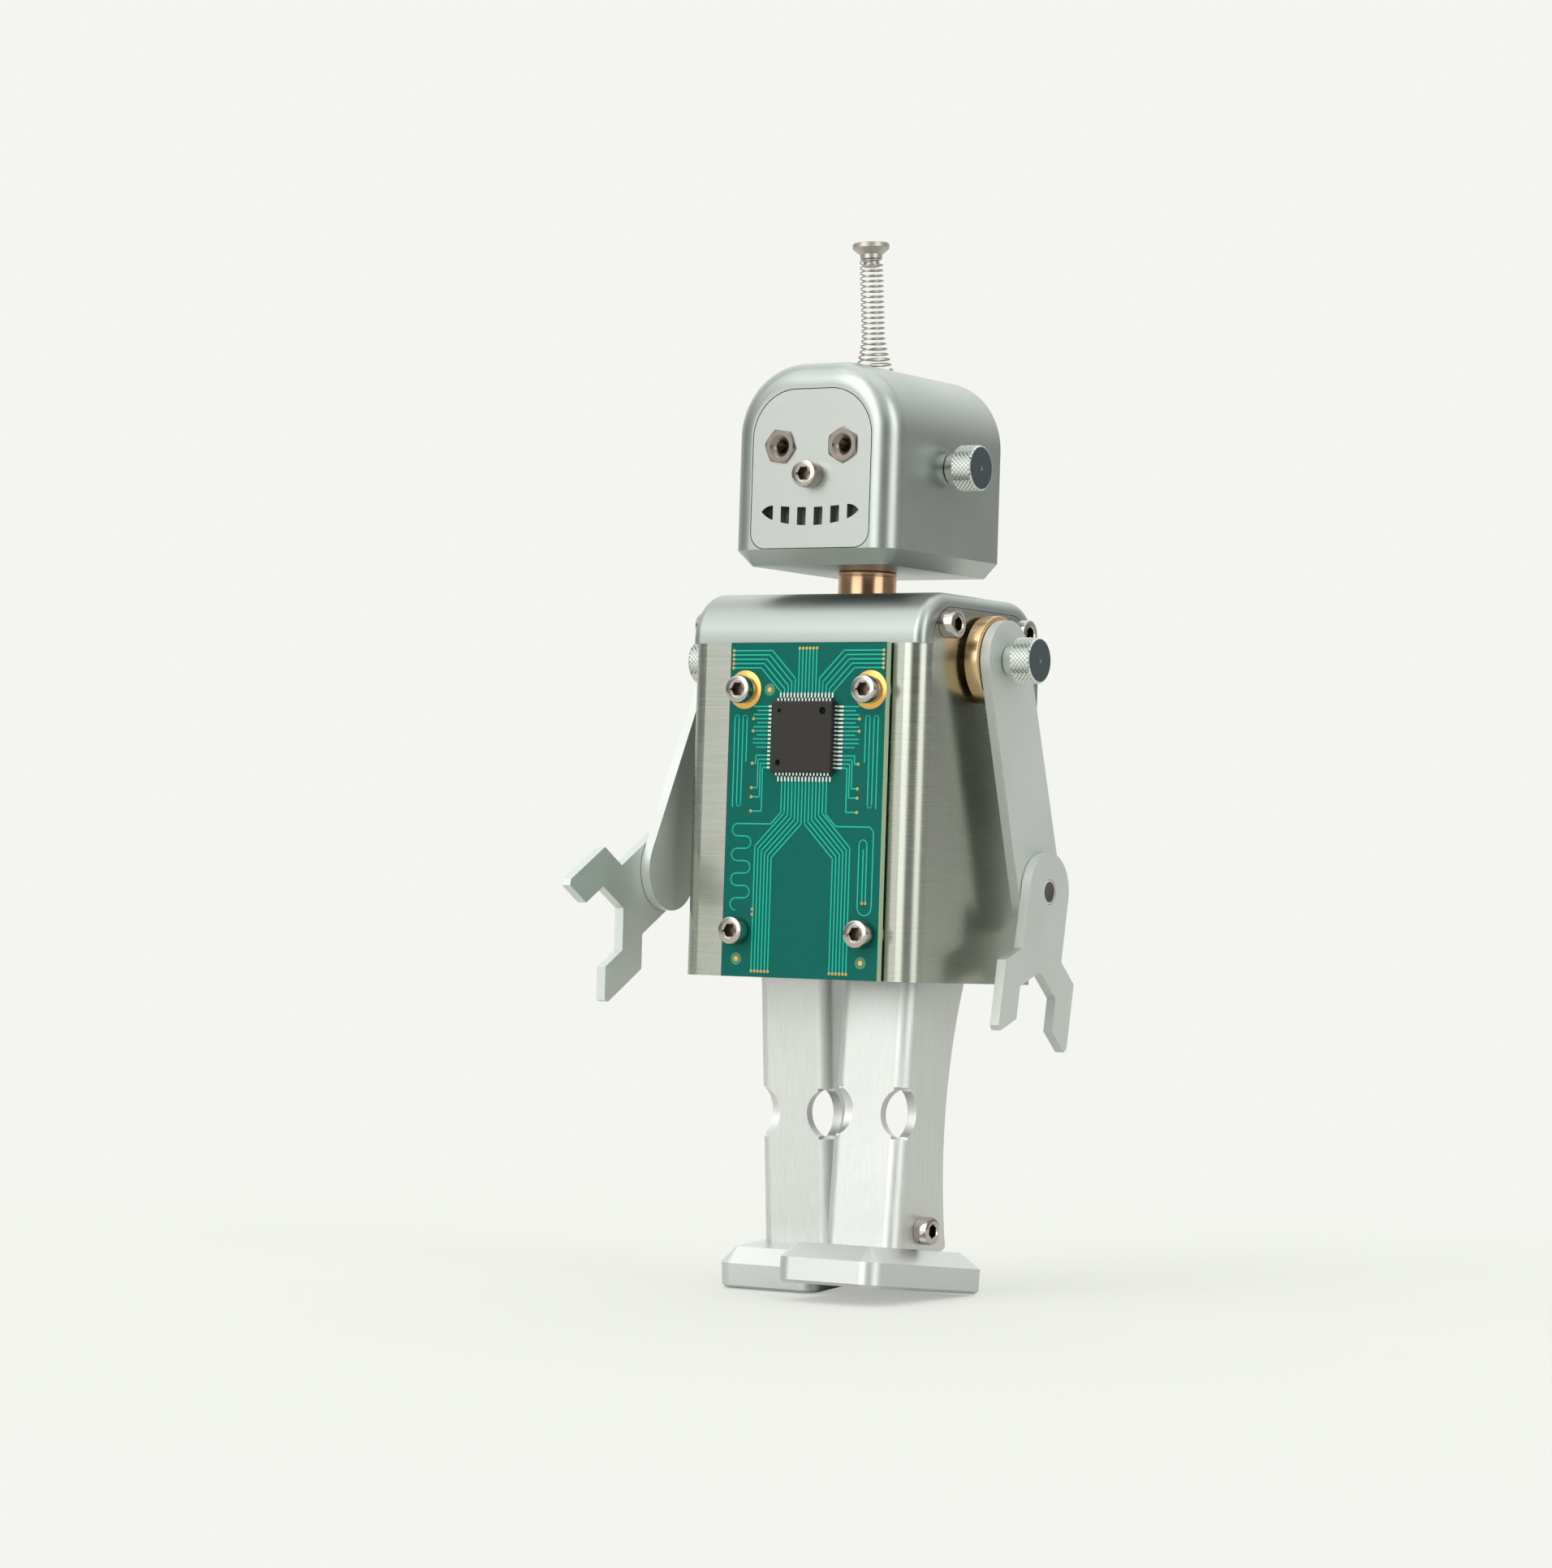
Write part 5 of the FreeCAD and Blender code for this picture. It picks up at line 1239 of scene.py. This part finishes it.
@dataclass
class Antenna:
    """Coil spring that widens at its foot, with a turned cap.

    Attributes:
        frames: local frames of the carried groups.
        materials: built materials by short name.
        wire: diameter of the wire.
        width: outer diameter of the coil.
        foot_width: outer diameter of the coil at its foot.
        flare: height over which the foot widens.
        flare_power: how quickly it widens towards the foot.
        height: height of the spring.
        turns: number of turns.
        wire_sides: facets round the wire.
        turn_steps: steps in one turn.
        cap_width: diameter of the cap.
        bend_span: heights between which the spring would bend; not used.
    """

    frames: Frames
    materials: Materials
    wire: float = 0.31
    width: float = 4.8
    foot_width: float = 7.6
    flare: float = 7.4
    flare_power: float = 1.4
    height: float = 22.6
    turns: int = 21
    wire_sides: int = 8
    turn_steps: int = 28
    cap_width: float = 7.4
    bend_span: tuple[float, float] = (1.0, 14.7)

    @property
    def mean_radius(self) -> float:
        """Radius of the coil's middle line."""
        return (self.width - self.wire) / 2

    def build(self) -> None:
        """Make the spring and its cap."""
        self.spring()
        self.cap()

    def cap(self) -> None:
        """Make the turned cap, a flat button on a short neck."""
        rim, neck, base = self.cap_width / 2, 2.2, self.height
        cap = turned("antenna_turned_cap", [
            (1.6, base - 1.4), (1.6, base), (neck - 0.1, base), (neck, base + 0.1), (neck, base + 0.95),
            (neck + 0.3, base + 1.2), (rim - 0.2, base + 2.05), (rim, base + 2.2), (rim, base + 3.05),
            (rim - 0.12, base + 3.2), (0.8, base + 3.2), (0.5, base + 2.95), (0.03, base + 2.9)], 64)
        dress(cap, self.materials["cap"])
        mount(put(cap, self.frames.antenna), "antenna", "turned_steel", "antenna_cap")

    def coil(self) -> bpy.types.Object:
        """Screw a small circle up the axis.

        Returns:
            The straight coil, open at both ends.
        """
        deselect_all()
        bpy.ops.mesh.primitive_circle_add(
            vertices=self.wire_sides, radius=self.wire / 2 * MM, fill_type="NOTHING",
            location=(self.mean_radius * MM, 0, self.wire / 2 * MM), rotation=(math.pi / 2, 0, 0))
        coil = bpy.context.object
        coil.name = "antenna_coil_spring"
        apply_place()
        screw = coil.modifiers.new("coil", "SCREW")
        screw.axis = "Z"
        screw.iterations = self.turns
        screw.steps = self.turn_steps
        screw.render_steps = self.turn_steps
        screw.screw_offset = (self.height - self.wire) / self.turns * MM
        screw.use_merge_vertices = False
        apply_modifiers(coil)
        return coil

    def widening(self, level: float) -> float:
        """Work out how much wider the coil is at a height.

        Args:
            level: height over the spring's foot.

        Returns:
            Factor on the coil's radius, 1 above the flare.
        """
        share = max(0.0, 1.0 - level / self.flare) ** self.flare_power
        wide = (self.foot_width - self.wire) / 2
        return (self.mean_radius + (wide - self.mean_radius) * share) / self.mean_radius

    def widen_foot(self, coil: bpy.types.Object, slices: int = 24) -> None:
        """Widen the coil towards its foot, one thin slice after another.

        Args:
            coil: the straight coil.
            slices: number of slices.
        """
        for k in range(slices):
            low, high = self.flare * k / slices, self.flare * (k + 1) / slices
            grow = self.widening((low + high) / 2)
            floor = low if k else low - self.wire
            pick(coil, "VERT", lambda place: floor * MM <= place.z < high * MM)
            bpy.ops.transform.resize(value=(grow, grow, 1), center_override=(0, 0, 0))
            object_mode()

    def spring(self) -> None:
        """Make the spring, set straight along the antenna's frame between the head and the antenna."""
        coil = self.coil()
        self.widen_foot(coil)
        select_only(coil)
        bpy.ops.object.mode_set(mode="EDIT")
        bpy.ops.mesh.select_all(action="SELECT")
        bpy.ops.mesh.fill_holes(sides=self.wire_sides)
        bpy.ops.mesh.normals_make_consistent(inside=False)
        object_mode()
        smooth_below(coil, 60)
        dress(coil, self.materials["spring"])
        put(coil, self.frames.antenna)
        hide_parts("antenna_foot", "antenna_spring")
        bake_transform(coil)
        LOG.info("%s: %d faces between head and antenna", coil.name, len(coil.data.polygons))


# ---------------------------------------------------------------- circuit board

def half_turn(x: float, z: float, radius: float, start: float, sweep: float) -> Track:
    """Lay out a half circle of a track.

    Args:
        x: its middle across the board.
        z: its middle's height.
        radius: its radius.
        start: angle of its first point, in degrees from level.
        sweep: angle that it covers, in degrees.

    Returns:
        Its points.
    """
    angles = [math.radians(start + sweep * step / 6) for step in range(7)]
    return [(x + radius * math.cos(angle), z + radius * math.sin(angle)) for angle in angles]


@dataclass
class CircuitFace:
    """Copper tracks under solder mask, gold pads and holes, and the chip, on the board's front.

    Attributes:
        frames: local frames of the carried groups.
        materials: built materials by short name.
        middle: the board's middle across the robot.
        face: distance of the board's front from the torso's middle.
        track_width: width of a track.
        track_height: height of a track over the mask.
        pitch: distance between the tracks of the lower bundles.
        lead_pitch: distance between the chip's leads.
        chip_z: height of the chip's middle over the shell's bottom edge.
        chip_half: half width of the chip's body.
        lead_reach: how far the chip's leads stand out of it.
        top_row: height of the top row of holes.
        corner_row: height of the uppermost hole of each upper corner.
        corner_pitch: distance between those holes.
        split: height at which the lower tracks part.
        far_step: distance of the chip's small side holes from the board's middle.
        step_feet: heights of the holes that end the stepped tracks.
        sight_marks: places of the three round sight marks.
        screw_pads: places of the two gold rings under screws.
        chip_marks: places and widths of the chip's moulding marks.
    """

    frames: Frames
    materials: Materials
    middle: float = 2.2
    face: float = 24.6
    track_width: float = 0.27
    track_height: float = 0.05
    pitch: float = 0.78
    lead_pitch: float = 0.8
    chip_z: float = 47.2
    chip_half: float = 7.0
    lead_reach: float = 1.6
    top_row: float = 64.6
    corner_row: float = 64.2
    corner_pitch: float = 0.85
    split: float = 30.2
    far_step: float = 12.3
    step_feet: tuple[float, ...] = (32.6, 35.4, 37.2, 42.0)
    sight_marks: tuple[tuple[float, float], ...] = ((-6.5, 56.5), (-12.4, 3.5), (16.4, 3.4))
    screw_pads: tuple[tuple[float, float], ...] = ((-12.3, 56.5), (16.7, 56.5))
    chip_marks: tuple[tuple[float, float, float], ...] = (
        (4.9, 5.1, 1.5), (-5.1, 5.1, 0.8), (-5.1, -5.1, 1.2))

    def build(self) -> None:
        """Make tracks, pads, plated holes and chip."""
        self.tracks()
        self.pads()
        self.holes()
        self.chip()

    @property
    def lead_ends(self) -> tuple[float, float]:
        """Heights of the ends of the chip's lower and upper leads."""
        reach = self.chip_half + self.lead_reach
        return self.chip_z - reach, self.chip_z + reach

    def at(self, x: float, z: float) -> Matrix:
        """Place of a point of the board's front, facing out of it."""
        return self.frames.torso @ spot(x, -self.face, z) @ facing("front")

    def top_bundle(self) -> list[Track]:
        """Lay out straight tracks from the top holes and bent ones from both upper corners to the chip.

        Returns:
            The tracks, each as (across, height) points.
        """
        lines: list[Track] = []
        chip_top = self.lead_ends[1]
        for k in range(6):
            x = self.middle + (k - 2.5) * self.lead_pitch
            lines.append([(x, self.top_row), (x, chip_top)])
        for side in (-1, 1):
            edge = self.middle + side * 17.4
            for k in range(5):
                level = self.corner_row - self.corner_pitch * k
                down = self.middle + side * (2.8 + self.lead_pitch * k)
                bend = self.middle + side * (8.3 + 0.62 * k)
                knee = level - abs(bend - down)
                lines.append([(edge, level), (bend, level), (down, knee), (down, chip_top)])
        return lines

    def bottom_bundle(self) -> list[Track]:
        """Lay out tracks from the chip's lower side that part into two bundles down to the bottom holes.

        Returns:
            The tracks, each as (across, height) points.
        """
        lines: list[Track] = []
        for side in (-1, 1):
            for k in range(6):
                start = self.middle + side * (0.5 + k) * self.lead_pitch
                end = self.middle + side * (7.1 + self.pitch * k)
                split = self.split + 0.42 * k
                knee = split - abs(end - start)
                lines.append([(start, self.lead_ends[0]), (start, split), (end, knee), (end, 1.3)])
        return lines

    def side_loops(self) -> list[Track]:
        """Lay out the winding track on the robot's right of the board and the long loops on its left.

        Returns:
            The tracks, each as (across, height) points.
        """
        start = self.middle - 5.2
        top = 30.1
        winding: Track = [(start, self.lead_ends[0]), (start, top + 2.3), (start - 2.3, top), (-13.0, top)]
        centre, reach, radius = -12.0, 1.0, 1.22
        for k in range(7):
            way = -1 if k % 2 == 0 else 1
            level = top - radius * (2 * k + 1)
            winding += half_turn(centre + way * reach, level, radius, 90, -180 * way)
        start = self.middle + 5.2
        outer: Track = [(start, self.lead_ends[0]), (start, 32.2), (start + 2.4, 29.8), (17.6, 29.8),
                        (18.5, 29.0)]
        outer += half_turn(16.9, 14.2, 1.6, 0, -180)
        outer += half_turn(16.2, 26.4, 0.9, 180, -180)
        outer.append((17.1, 15.3))
        return [winding, outer, [(16.3, 15.3), (16.3, 25.4)]]

    def side_steps(self) -> list[Track]:
        """Lay out short tracks from both sides of the chip: stubs above, nested steps below.

        Returns:
            The tracks, each as (across, height) points.
        """
        lines: list[Track] = []
        for side in (-1, 1):
            near = self.middle + side * (self.chip_half + self.lead_reach)
            far = self.middle + side * (self.far_step - 0.1)
            for k, foot in enumerate(self.step_feet):
                level = self.chip_z - 6.0 + self.lead_pitch * k
                column = self.middle + side * (9.8 + 0.55 * k)
                lines.append([(near, level), (column, level), (column, foot), (far, foot)])
            for k in range(11):
                level = self.chip_z - 2.0 + self.lead_pitch * k
                lines.append([(near, level), (far if k % 3 else far - side * 0.9, level)])
        return lines

    def side_hairpins(self) -> list[Track]:
        """Lay out plain long hairpins beside both edges of the board.

        Returns:
            The tracks, each as (across, height) points.
        """
        lines: list[Track] = []
        gap, low, high = 0.95, 34.0, 51.0
        for side in (-1, 1):
            first = self.middle + side * 16.6
            line: Track = [(first, low - 0.6)]
            for k in range(3):
                x = first - side * gap * (k + 0.5)
                top = k % 2 == 0
                begin = 0 if side > 0 else 180
                turn = 180 if (side > 0) == top else -180
                line += half_turn(x, high if top else low, gap / 2, begin, turn)
            line.append((first - side * 3 * gap, low + 8.4))
            lines.append(line)
        return lines

    def lay(self, line: Track) -> list[bpy.types.Object]:
        """Lay one track as flat strips that overlap at its bends.

        Args:
            line: the track's (across, height) points.

        Returns:
            The strips, flat on the level plane.
        """
        strips = []
        overlap = 0.6 * self.track_width
        for (x0, z0), (x1, z1) in zip(line, line[1:]):
            length = math.hypot(x1 - x0, z1 - z0)
            if length < 1e-6:
                continue
            deselect_all()
            bpy.ops.mesh.primitive_plane_add(size=1.0)
            strip = bpy.context.object
            angle = math.atan2(z1 - z0, x1 - x0)
            stretch = Matrix.Diagonal(((length + overlap) * MM, self.track_width * MM, 1, 1))
            strip.data.transform(spot((x0 + x1) / 2, (z0 + z1) / 2, 0) @ Matrix.Rotation(angle, 4, "Z")
                                 @ stretch)
            strips.append(strip)
        return strips

    def tracks(self) -> None:
        """Make all tracks as one thin raised piece."""
        layouts = (self.top_bundle, self.bottom_bundle, self.side_loops, self.side_steps, self.side_hairpins)
        strips = [strip for layout in layouts for line in layout() for strip in self.lay(line)]
        sheet = join("board_copper_tracks", strips)
        pick(sheet, "FACE", lambda place: True)
        bpy.ops.mesh.extrude_region_move(TRANSFORM_OT_translate={"value": (0, 0, self.track_height * MM)})
        bpy.ops.mesh.select_all(action="SELECT")
        bpy.ops.mesh.normals_make_consistent(inside=False)
        object_mode()
        put(sheet, self.at(0, 0))
        dress(sheet, self.materials["track"])
        mount(sheet, "torso", "board_green")

    def pads(self) -> None:
        """Make gold rings under the two upper screws, and the sight marks with their bare rings."""
        gold, bare = [], []
        for x, z in self.screw_pads:
            ring = turned("pad", [(1.6, 0.0), (3.75, 0.0), (3.8, 0.02), (3.75, 0.05), (1.6, 0.05)], 48,
                          ring=True)
            gold.append(put(ring, self.at(x, z)))
        for x, z in self.sight_marks:
            mark = turned("mark", [(0.5, 0.0), (0.52, 0.02), (0.5, 0.06), (0.02, 0.06)], 24)
            gold.append(put(mark, self.at(x, z)))
            halo = turned("halo", [(0.55, 0.0), (1.2, 0.0), (1.22, 0.015), (1.2, 0.03), (0.55, 0.03)], 32,
                          ring=True)
            bare.append(put(halo, self.at(x, z)))
        for name, pieces, finish in (("board_gold_pads", gold, "gold"),
                                     ("board_bare_rings", bare, "laminate")):
            group = join(name, pieces)
            dress(group, self.materials[finish])
            mount(group, "torso", "board_green")

    def hole_places(self) -> list[tuple[float, float]]:
        """List the plated holes.

        Returns:
            Across and height of every hole.
        """
        places = [(self.middle + (k - 2.5) * self.lead_pitch, self.top_row + 0.05) for k in range(6)]
        places += [(-9.0, 13.3), (-9.0, 12.3), (16.3, 15.0), (17.1, 15.0)]
        for side in (-1, 1):
            edge = self.middle + side * 17.35
            places += [(edge, self.corner_row - self.corner_pitch * k) for k in range(5)]
            places += [(self.middle + side * (7.1 + self.pitch * k), 1.15) for k in range(6)]
            places += [(self.middle + side * self.far_step, z) for z in self.step_feet + (48.4, 50.8)]
        return places

    def holes(self) -> None:
        """Make the small gold-plated holes."""
        rim = [(0.13, 0.0), (0.3, 0.0), (0.31, 0.03), (0.28, 0.06), (0.13, 0.06)]
        hole = turned("board_plated_holes", rim, 12, ring=True)
        group = copies(hole, [self.at(x, z) for x, z in self.hole_places()])
        dress(group, self.materials["gold"])
        mount(group, "torso", "board_green")

    def chip(self) -> None:
        """Make the chip's body, with bevelled edges and round moulding marks."""
        foot, shoulder, top = 0.15, 1.7, 1.85
        deselect_all()
        bpy.ops.mesh.primitive_cube_add(size=1.0, location=(0, 0, (foot + top) / 2 * MM))
        body = bpy.context.object
        body.name = "chip_moulded_body"
        body.scale = (2 * self.chip_half * MM, 2 * self.chip_half * MM, (top - foot) * MM)
        apply_place()
        pick(body, "FACE", lambda place: place.z > shoulder * MM)
        bpy.ops.mesh.inset(thickness=0.28 * MM)
        bpy.ops.transform.translate(value=(0, 0, 0.12 * MM))
        object_mode()
        bevel = body.modifiers.new("edges", "BEVEL")
        bevel.width = 0.12 * MM
        bevel.segments = 2
        apply_modifiers(body)
        for x, y, width in self.chip_marks:
            cut(body, prism(32, width / 2, 1.8, 2.2, across=(x, y)))
        dress(body, self.materials["chip"], self.materials["chip_mark"])
        paint_faces(body, 1, lambda place, normal: shoulder * MM < place.z < 1.9 * MM and normal.z > 0.9
                    and max(abs(place.x), abs(place.y)) < (self.chip_half - 0.5) * MM)
        put(body, self.at(self.middle, self.chip_z))
        mount(body, "torso", "chip_black", "chip_body")


# ---------------------------------------------------------------- finishes of the plain solids

# Finish of each CAD node that stays in view, and of those that come in pairs.
# The head housing's finish is a lighter copy of the satin aluminium: painted light.
NODE_FINISHES = {"torso_shell": "shell", "shoulder_block": "satin", "head_housing": "head",
                 "face_plate": "face", "circuit_board": "board", "board_spacers": "nylon",
                 "board_nuts": "screw", "chip_leads": "tin", "hip_hanger": "satin", "hip_axle": "screw",
                 "hip_nuts": "screw", "shoulder_nuts": "screw", "neck_pin": "screw"}
PAIR_FINISHES = {"upper_arm_": "arm", "forearm_hand_": "arm", "leg_channel_": "leg", "foot_": "foot",
                 "hip_sleeve_": "bronze"}
# Width in millimetres of the broken edges of each finish.
EDGE_BREAK = {"arm": 0.2, "foot": 0.25}


def dress_solids(materials: Materials) -> None:
    """Give the CAD nodes that stay in view their finishes.

    Args:
        materials: built materials by short name.
    """
    pairs = {stem + side: finish for stem, finish in PAIR_FINISHES.items() for side in SIGN}
    finishes = NODE_FINISHES | pairs
    for name, finish in finishes.items():
        node = frame["nodes"][name]
        dress(node, materials[finish])
        if finish in EDGE_BREAK:
            edges = node.modifiers.new("broken_edges", "BEVEL")
            edges.width = EDGE_BREAK[finish] * MM
            edges.segments = 2
            edges.limit_method = "ANGLE"
            edges.angle_limit = math.radians(40)
        LOG.info("%s: %s", name, materials[finish].name)


# ---------------------------------------------------------------- studio

@dataclass
class Studio:
    """Plain pale floor, soft lamps, white surroundings and the camera.

    Attributes:
        background: sRGB hex that the camera sees round the object.
        paper: sRGB hex of the floor where the object's shadow falls.
        room: sRGB hex of the light from all round.
        glow_reach: distances in metres over which the floor fades into the background.
        glow_share: share of the background's colour in the floor at those distances.
        front: level direction from the object towards the camera.
        strips: tall strip lights, as azimuth, inner and outer half width in degrees, and strength.
        strip_flatness: how far a strip light keeps its width up and down, from 1 down to 0.
        lamps: name, place in metres, size in metres and power in watts of each soft lamp.
        camera_place: the camera's place in metres.
        camera_turn: the camera's rotation in degrees.
        lens: focal length in millimetres.
    """

    background: str = "#F4F5F0"
    paper: str = "#D4D5D0"
    room: str = "#F3F5F2"
    glow_reach: tuple[float, float] = (0.08, 0.42)
    glow_share: tuple[float, float] = (0.45, 1.0)
    front: tuple[float, float, float] = (0.545, -0.839, 0.0)
    strips: tuple[tuple[float, float, float, float], ...] = (
        (-102.0, 9.0, 27.0, 2.5), (-13.0, 8.0, 22.0, 2.3))
    strip_flatness: float = 0.25
    lamps: tuple[tuple[str, tuple[float, float, float], float, float], ...] = (
        ("key", (-0.9, -1.1, 1.5), 1.8, 7.0), ("top", (0.0, 0.2, 1.6), 1.6, 5.0))
    camera_place: tuple[float, float, float] = (0.52708, -0.83484, 0.08658)
    camera_turn: tuple[float, float, float] = (90.809, -1.196, 32.817)
    lens: float = 114.69

    def build(self) -> None:
        """Make floor, world, lamps and camera."""
        self.floor()
        self.world()
        for lamp in self.lamps:
            self.lamp(*lamp)
        self.camera()

    def floor(self) -> None:
        """Make a pale floor that the camera sees as the background, with the object's shadow on it."""
        deselect_all()
        bpy.ops.mesh.primitive_plane_add(size=12.0, location=(0, 0, -0.0002))
        floor = bpy.context.object
        floor.name = "studio_floor"
        material = bpy.data.materials.new("studio_paper")
        material.use_nodes = True
        tree = material.node_tree
        shader = tree.nodes["Principled BSDF"]
        shader.inputs["Base Color"].default_value = linear(self.paper)
        shader.inputs["Roughness"].default_value = 0.9
        glow = add_node(tree, "ShaderNodeEmission", {"Color": linear(self.background), "Strength": 1.0})
        place = add_node(tree, "ShaderNodeTexCoord")
        reach = add_node(tree, "ShaderNodeVectorMath", {0: place.outputs["Object"]}, operation="LENGTH")
        fade = add_node(tree, "ShaderNodeMapRange", {
            "Value": reach.outputs["Value"], "From Min": self.glow_reach[0], "From Max": self.glow_reach[1],
            "To Min": self.glow_share[0], "To Max": self.glow_share[1]}, interpolation_type="SMOOTHSTEP")
        path = add_node(tree, "ShaderNodeLightPath")
        share = add_node(tree, "ShaderNodeMath",
                         {0: path.outputs["Is Camera Ray"], 1: fade.outputs["Result"]}, operation="MULTIPLY")
        mix = add_node(tree, "ShaderNodeMixShader", {"Fac": share.outputs[0], 1: shader.outputs[0],
                                                      2: glow.outputs[0]})
        tree.links.new(mix.outputs[0], tree.nodes["Material Output"].inputs["Surface"])
        floor.data.materials.append(material)

    def world(self) -> None:
        """Make the surroundings: pale to the camera, a room with two tall strip lights to the object."""
        world = bpy.data.worlds.new("studio_room")
        bpy.context.scene.world = world
        world.use_nodes = True
        tree = world.node_tree
        tree.nodes.clear()
        view = add_node(tree, "ShaderNodeTexCoord").outputs["Generated"]
        path = add_node(tree, "ShaderNodeLightPath")
        away = tuple(-part for part in self.front)
        ceiling = self.glow_towards(tree, view, (0.0, 0.0, 1.0), (-0.1, 0.75), (0.2, 1.0))
        back = self.glow_towards(tree, view, away, (0.3, 0.95), (0.0, 0.6))
        total = add_node(tree, "ShaderNodeMath", {0: ceiling, 1: back}, operation="ADD").outputs[0]
        flat = add_node(tree, "ShaderNodeVectorMath", {0: view, 1: (1.0, 1.0, self.strip_flatness)},
                        operation="MULTIPLY")
        level = add_node(tree, "ShaderNodeVectorMath", {0: flat.outputs["Vector"]}, operation="NORMALIZE")
        for azimuth, near, far, strength in self.strips:
            towards = (math.cos(math.radians(azimuth)), math.sin(math.radians(azimuth)), 0.0)
            edges = (math.cos(math.radians(far)), math.cos(math.radians(near)))
            light = self.glow_towards(tree, level.outputs["Vector"], towards, edges, (0.0, strength))
            total = add_node(tree, "ShaderNodeMath", {0: total, 1: light}, operation="ADD").outputs[0]
        shade = self.glow_towards(tree, view, self.front, (0.9, 0.985), (1.0, 0.3))
        total = add_node(tree, "ShaderNodeMath", {0: total, 1: shade}, operation="MULTIPLY").outputs[0]
        room = add_node(tree, "ShaderNodeBackground", {"Strength": total, "Color": linear(self.room)})
        seen = add_node(tree, "ShaderNodeBackground", {"Strength": 1.0, "Color": linear(self.background)})
        mix = add_node(tree, "ShaderNodeMixShader",
                       {"Fac": path.outputs["Is Camera Ray"], 1: room.outputs[0], 2: seen.outputs[0]})
        add_node(tree, "ShaderNodeOutputWorld", {"Surface": mix.outputs[0]})

    def glow_towards(self, tree: bpy.types.NodeTree, view: bpy.types.NodeSocket,
                     towards: tuple[float, float, float], cosines: tuple[float, float],
                     strengths: tuple[float, float]) -> bpy.types.NodeSocket:
        """Add a strength that changes smoothly with how nearly a direction agrees with a given one.

        Args:
            tree: the world's node tree.
            view: socket with the unit direction looked in.
            towards: the direction that it is compared with.
            cosines: cosines between which the strength changes.
            strengths: strengths at those cosines.

        Returns:
            The socket with the strength.
        """
        likeness = add_node(tree, "ShaderNodeVectorMath", {0: view, 1: towards}, operation="DOT_PRODUCT")
        ramp = add_node(tree, "ShaderNodeMapRange", {
            "Value": likeness.outputs["Value"], "From Min": cosines[0], "From Max": cosines[1],
            "To Min": strengths[0], "To Max": strengths[1]}, interpolation_type="SMOOTHSTEP")
        return ramp.outputs["Result"]

    def lamp(self, name: str, place: tuple[float, float, float], size: float, watts: float) -> None:
        """Add a square soft lamp that looks at the object's middle.

        Args:
            name: what the lamp is for.
            place: its place in metres.
            size: its width in metres.
            watts: its power.
        """
        deselect_all()
        bpy.ops.object.light_add(type="AREA", location=place)
        lamp = bpy.context.object
        lamp.name = "studio_" + name
        lamp.data.size = size
        lamp.data.energy = watts
        lamp.rotation_euler = (Vector((0, 0, 0.1)) - Vector(place)).to_track_quat("-Z", "Y").to_euler()

    def camera(self) -> None:
        """Add the camera."""
        deselect_all()
        turn = [math.radians(angle) for angle in self.camera_turn]
        bpy.ops.object.camera_add(location=self.camera_place, rotation=turn)
        camera = bpy.context.object
        camera.data.lens = self.lens
        camera.data.sensor_width = 36.0
        camera.data.clip_start = 0.05
        bpy.context.scene.camera = camera


def build_materials() -> Materials:
    """Make every finish once.

    Returns:
        Materials by short name.
    """
    finishes = {"shell": SHELL_STEEL, "satin": SATIN_ALUMINIUM, "head": HEAD_ALUMINIUM_PAINTED_LIGHT, "face": FACE_METAL,
                "leg": LEG_ALUMINIUM, "foot": FOOT_ALUMINIUM, "arm": ARM_ALUMINIUM, "bronze": BRONZE,
                "copper": COPPER, "neck": NECK_BRONZE_PAINTED_SHADE, "screw": SCREW_STEEL, "knob": KNOB_STEEL,
                "cap": CAP_STEEL, "knob_face_painted_reflection": KNOB_FACE_PAINTED_REFLECTION, "spring": SPRING_STEEL, "eye": EYE_NICKEL,
                "pin": DARK_PIN, "socket": SOCKET_PAINTED_SHADE, "tin": TIN, "gold": GOLD, "board": BOARD,
                "track": TRACK_MASK, "laminate": BARE_LAMINATE, "chip": CHIP_EPOXY,
                "chip_mark": CHIP_MARK, "nylon": NYLON}
    return {name: finish.build() for name, finish in finishes.items()}


def main() -> None:
    """Build the whole figure and its studio."""
    logging.basicConfig(level=logging.INFO, format="%(name)s %(message)s")
    bpy.context.scene.view_settings.view_transform = "Standard"
    materials = build_materials()
    frames = Frames()
    dress_solids(materials)
    Hardware(frames, materials).build()
    HeadDetails(frames, materials).build()
    Antenna(frames, materials).build()
    CircuitFace(frames, materials).build()
    Studio().build()


if __name__ == "__main__":
    main()
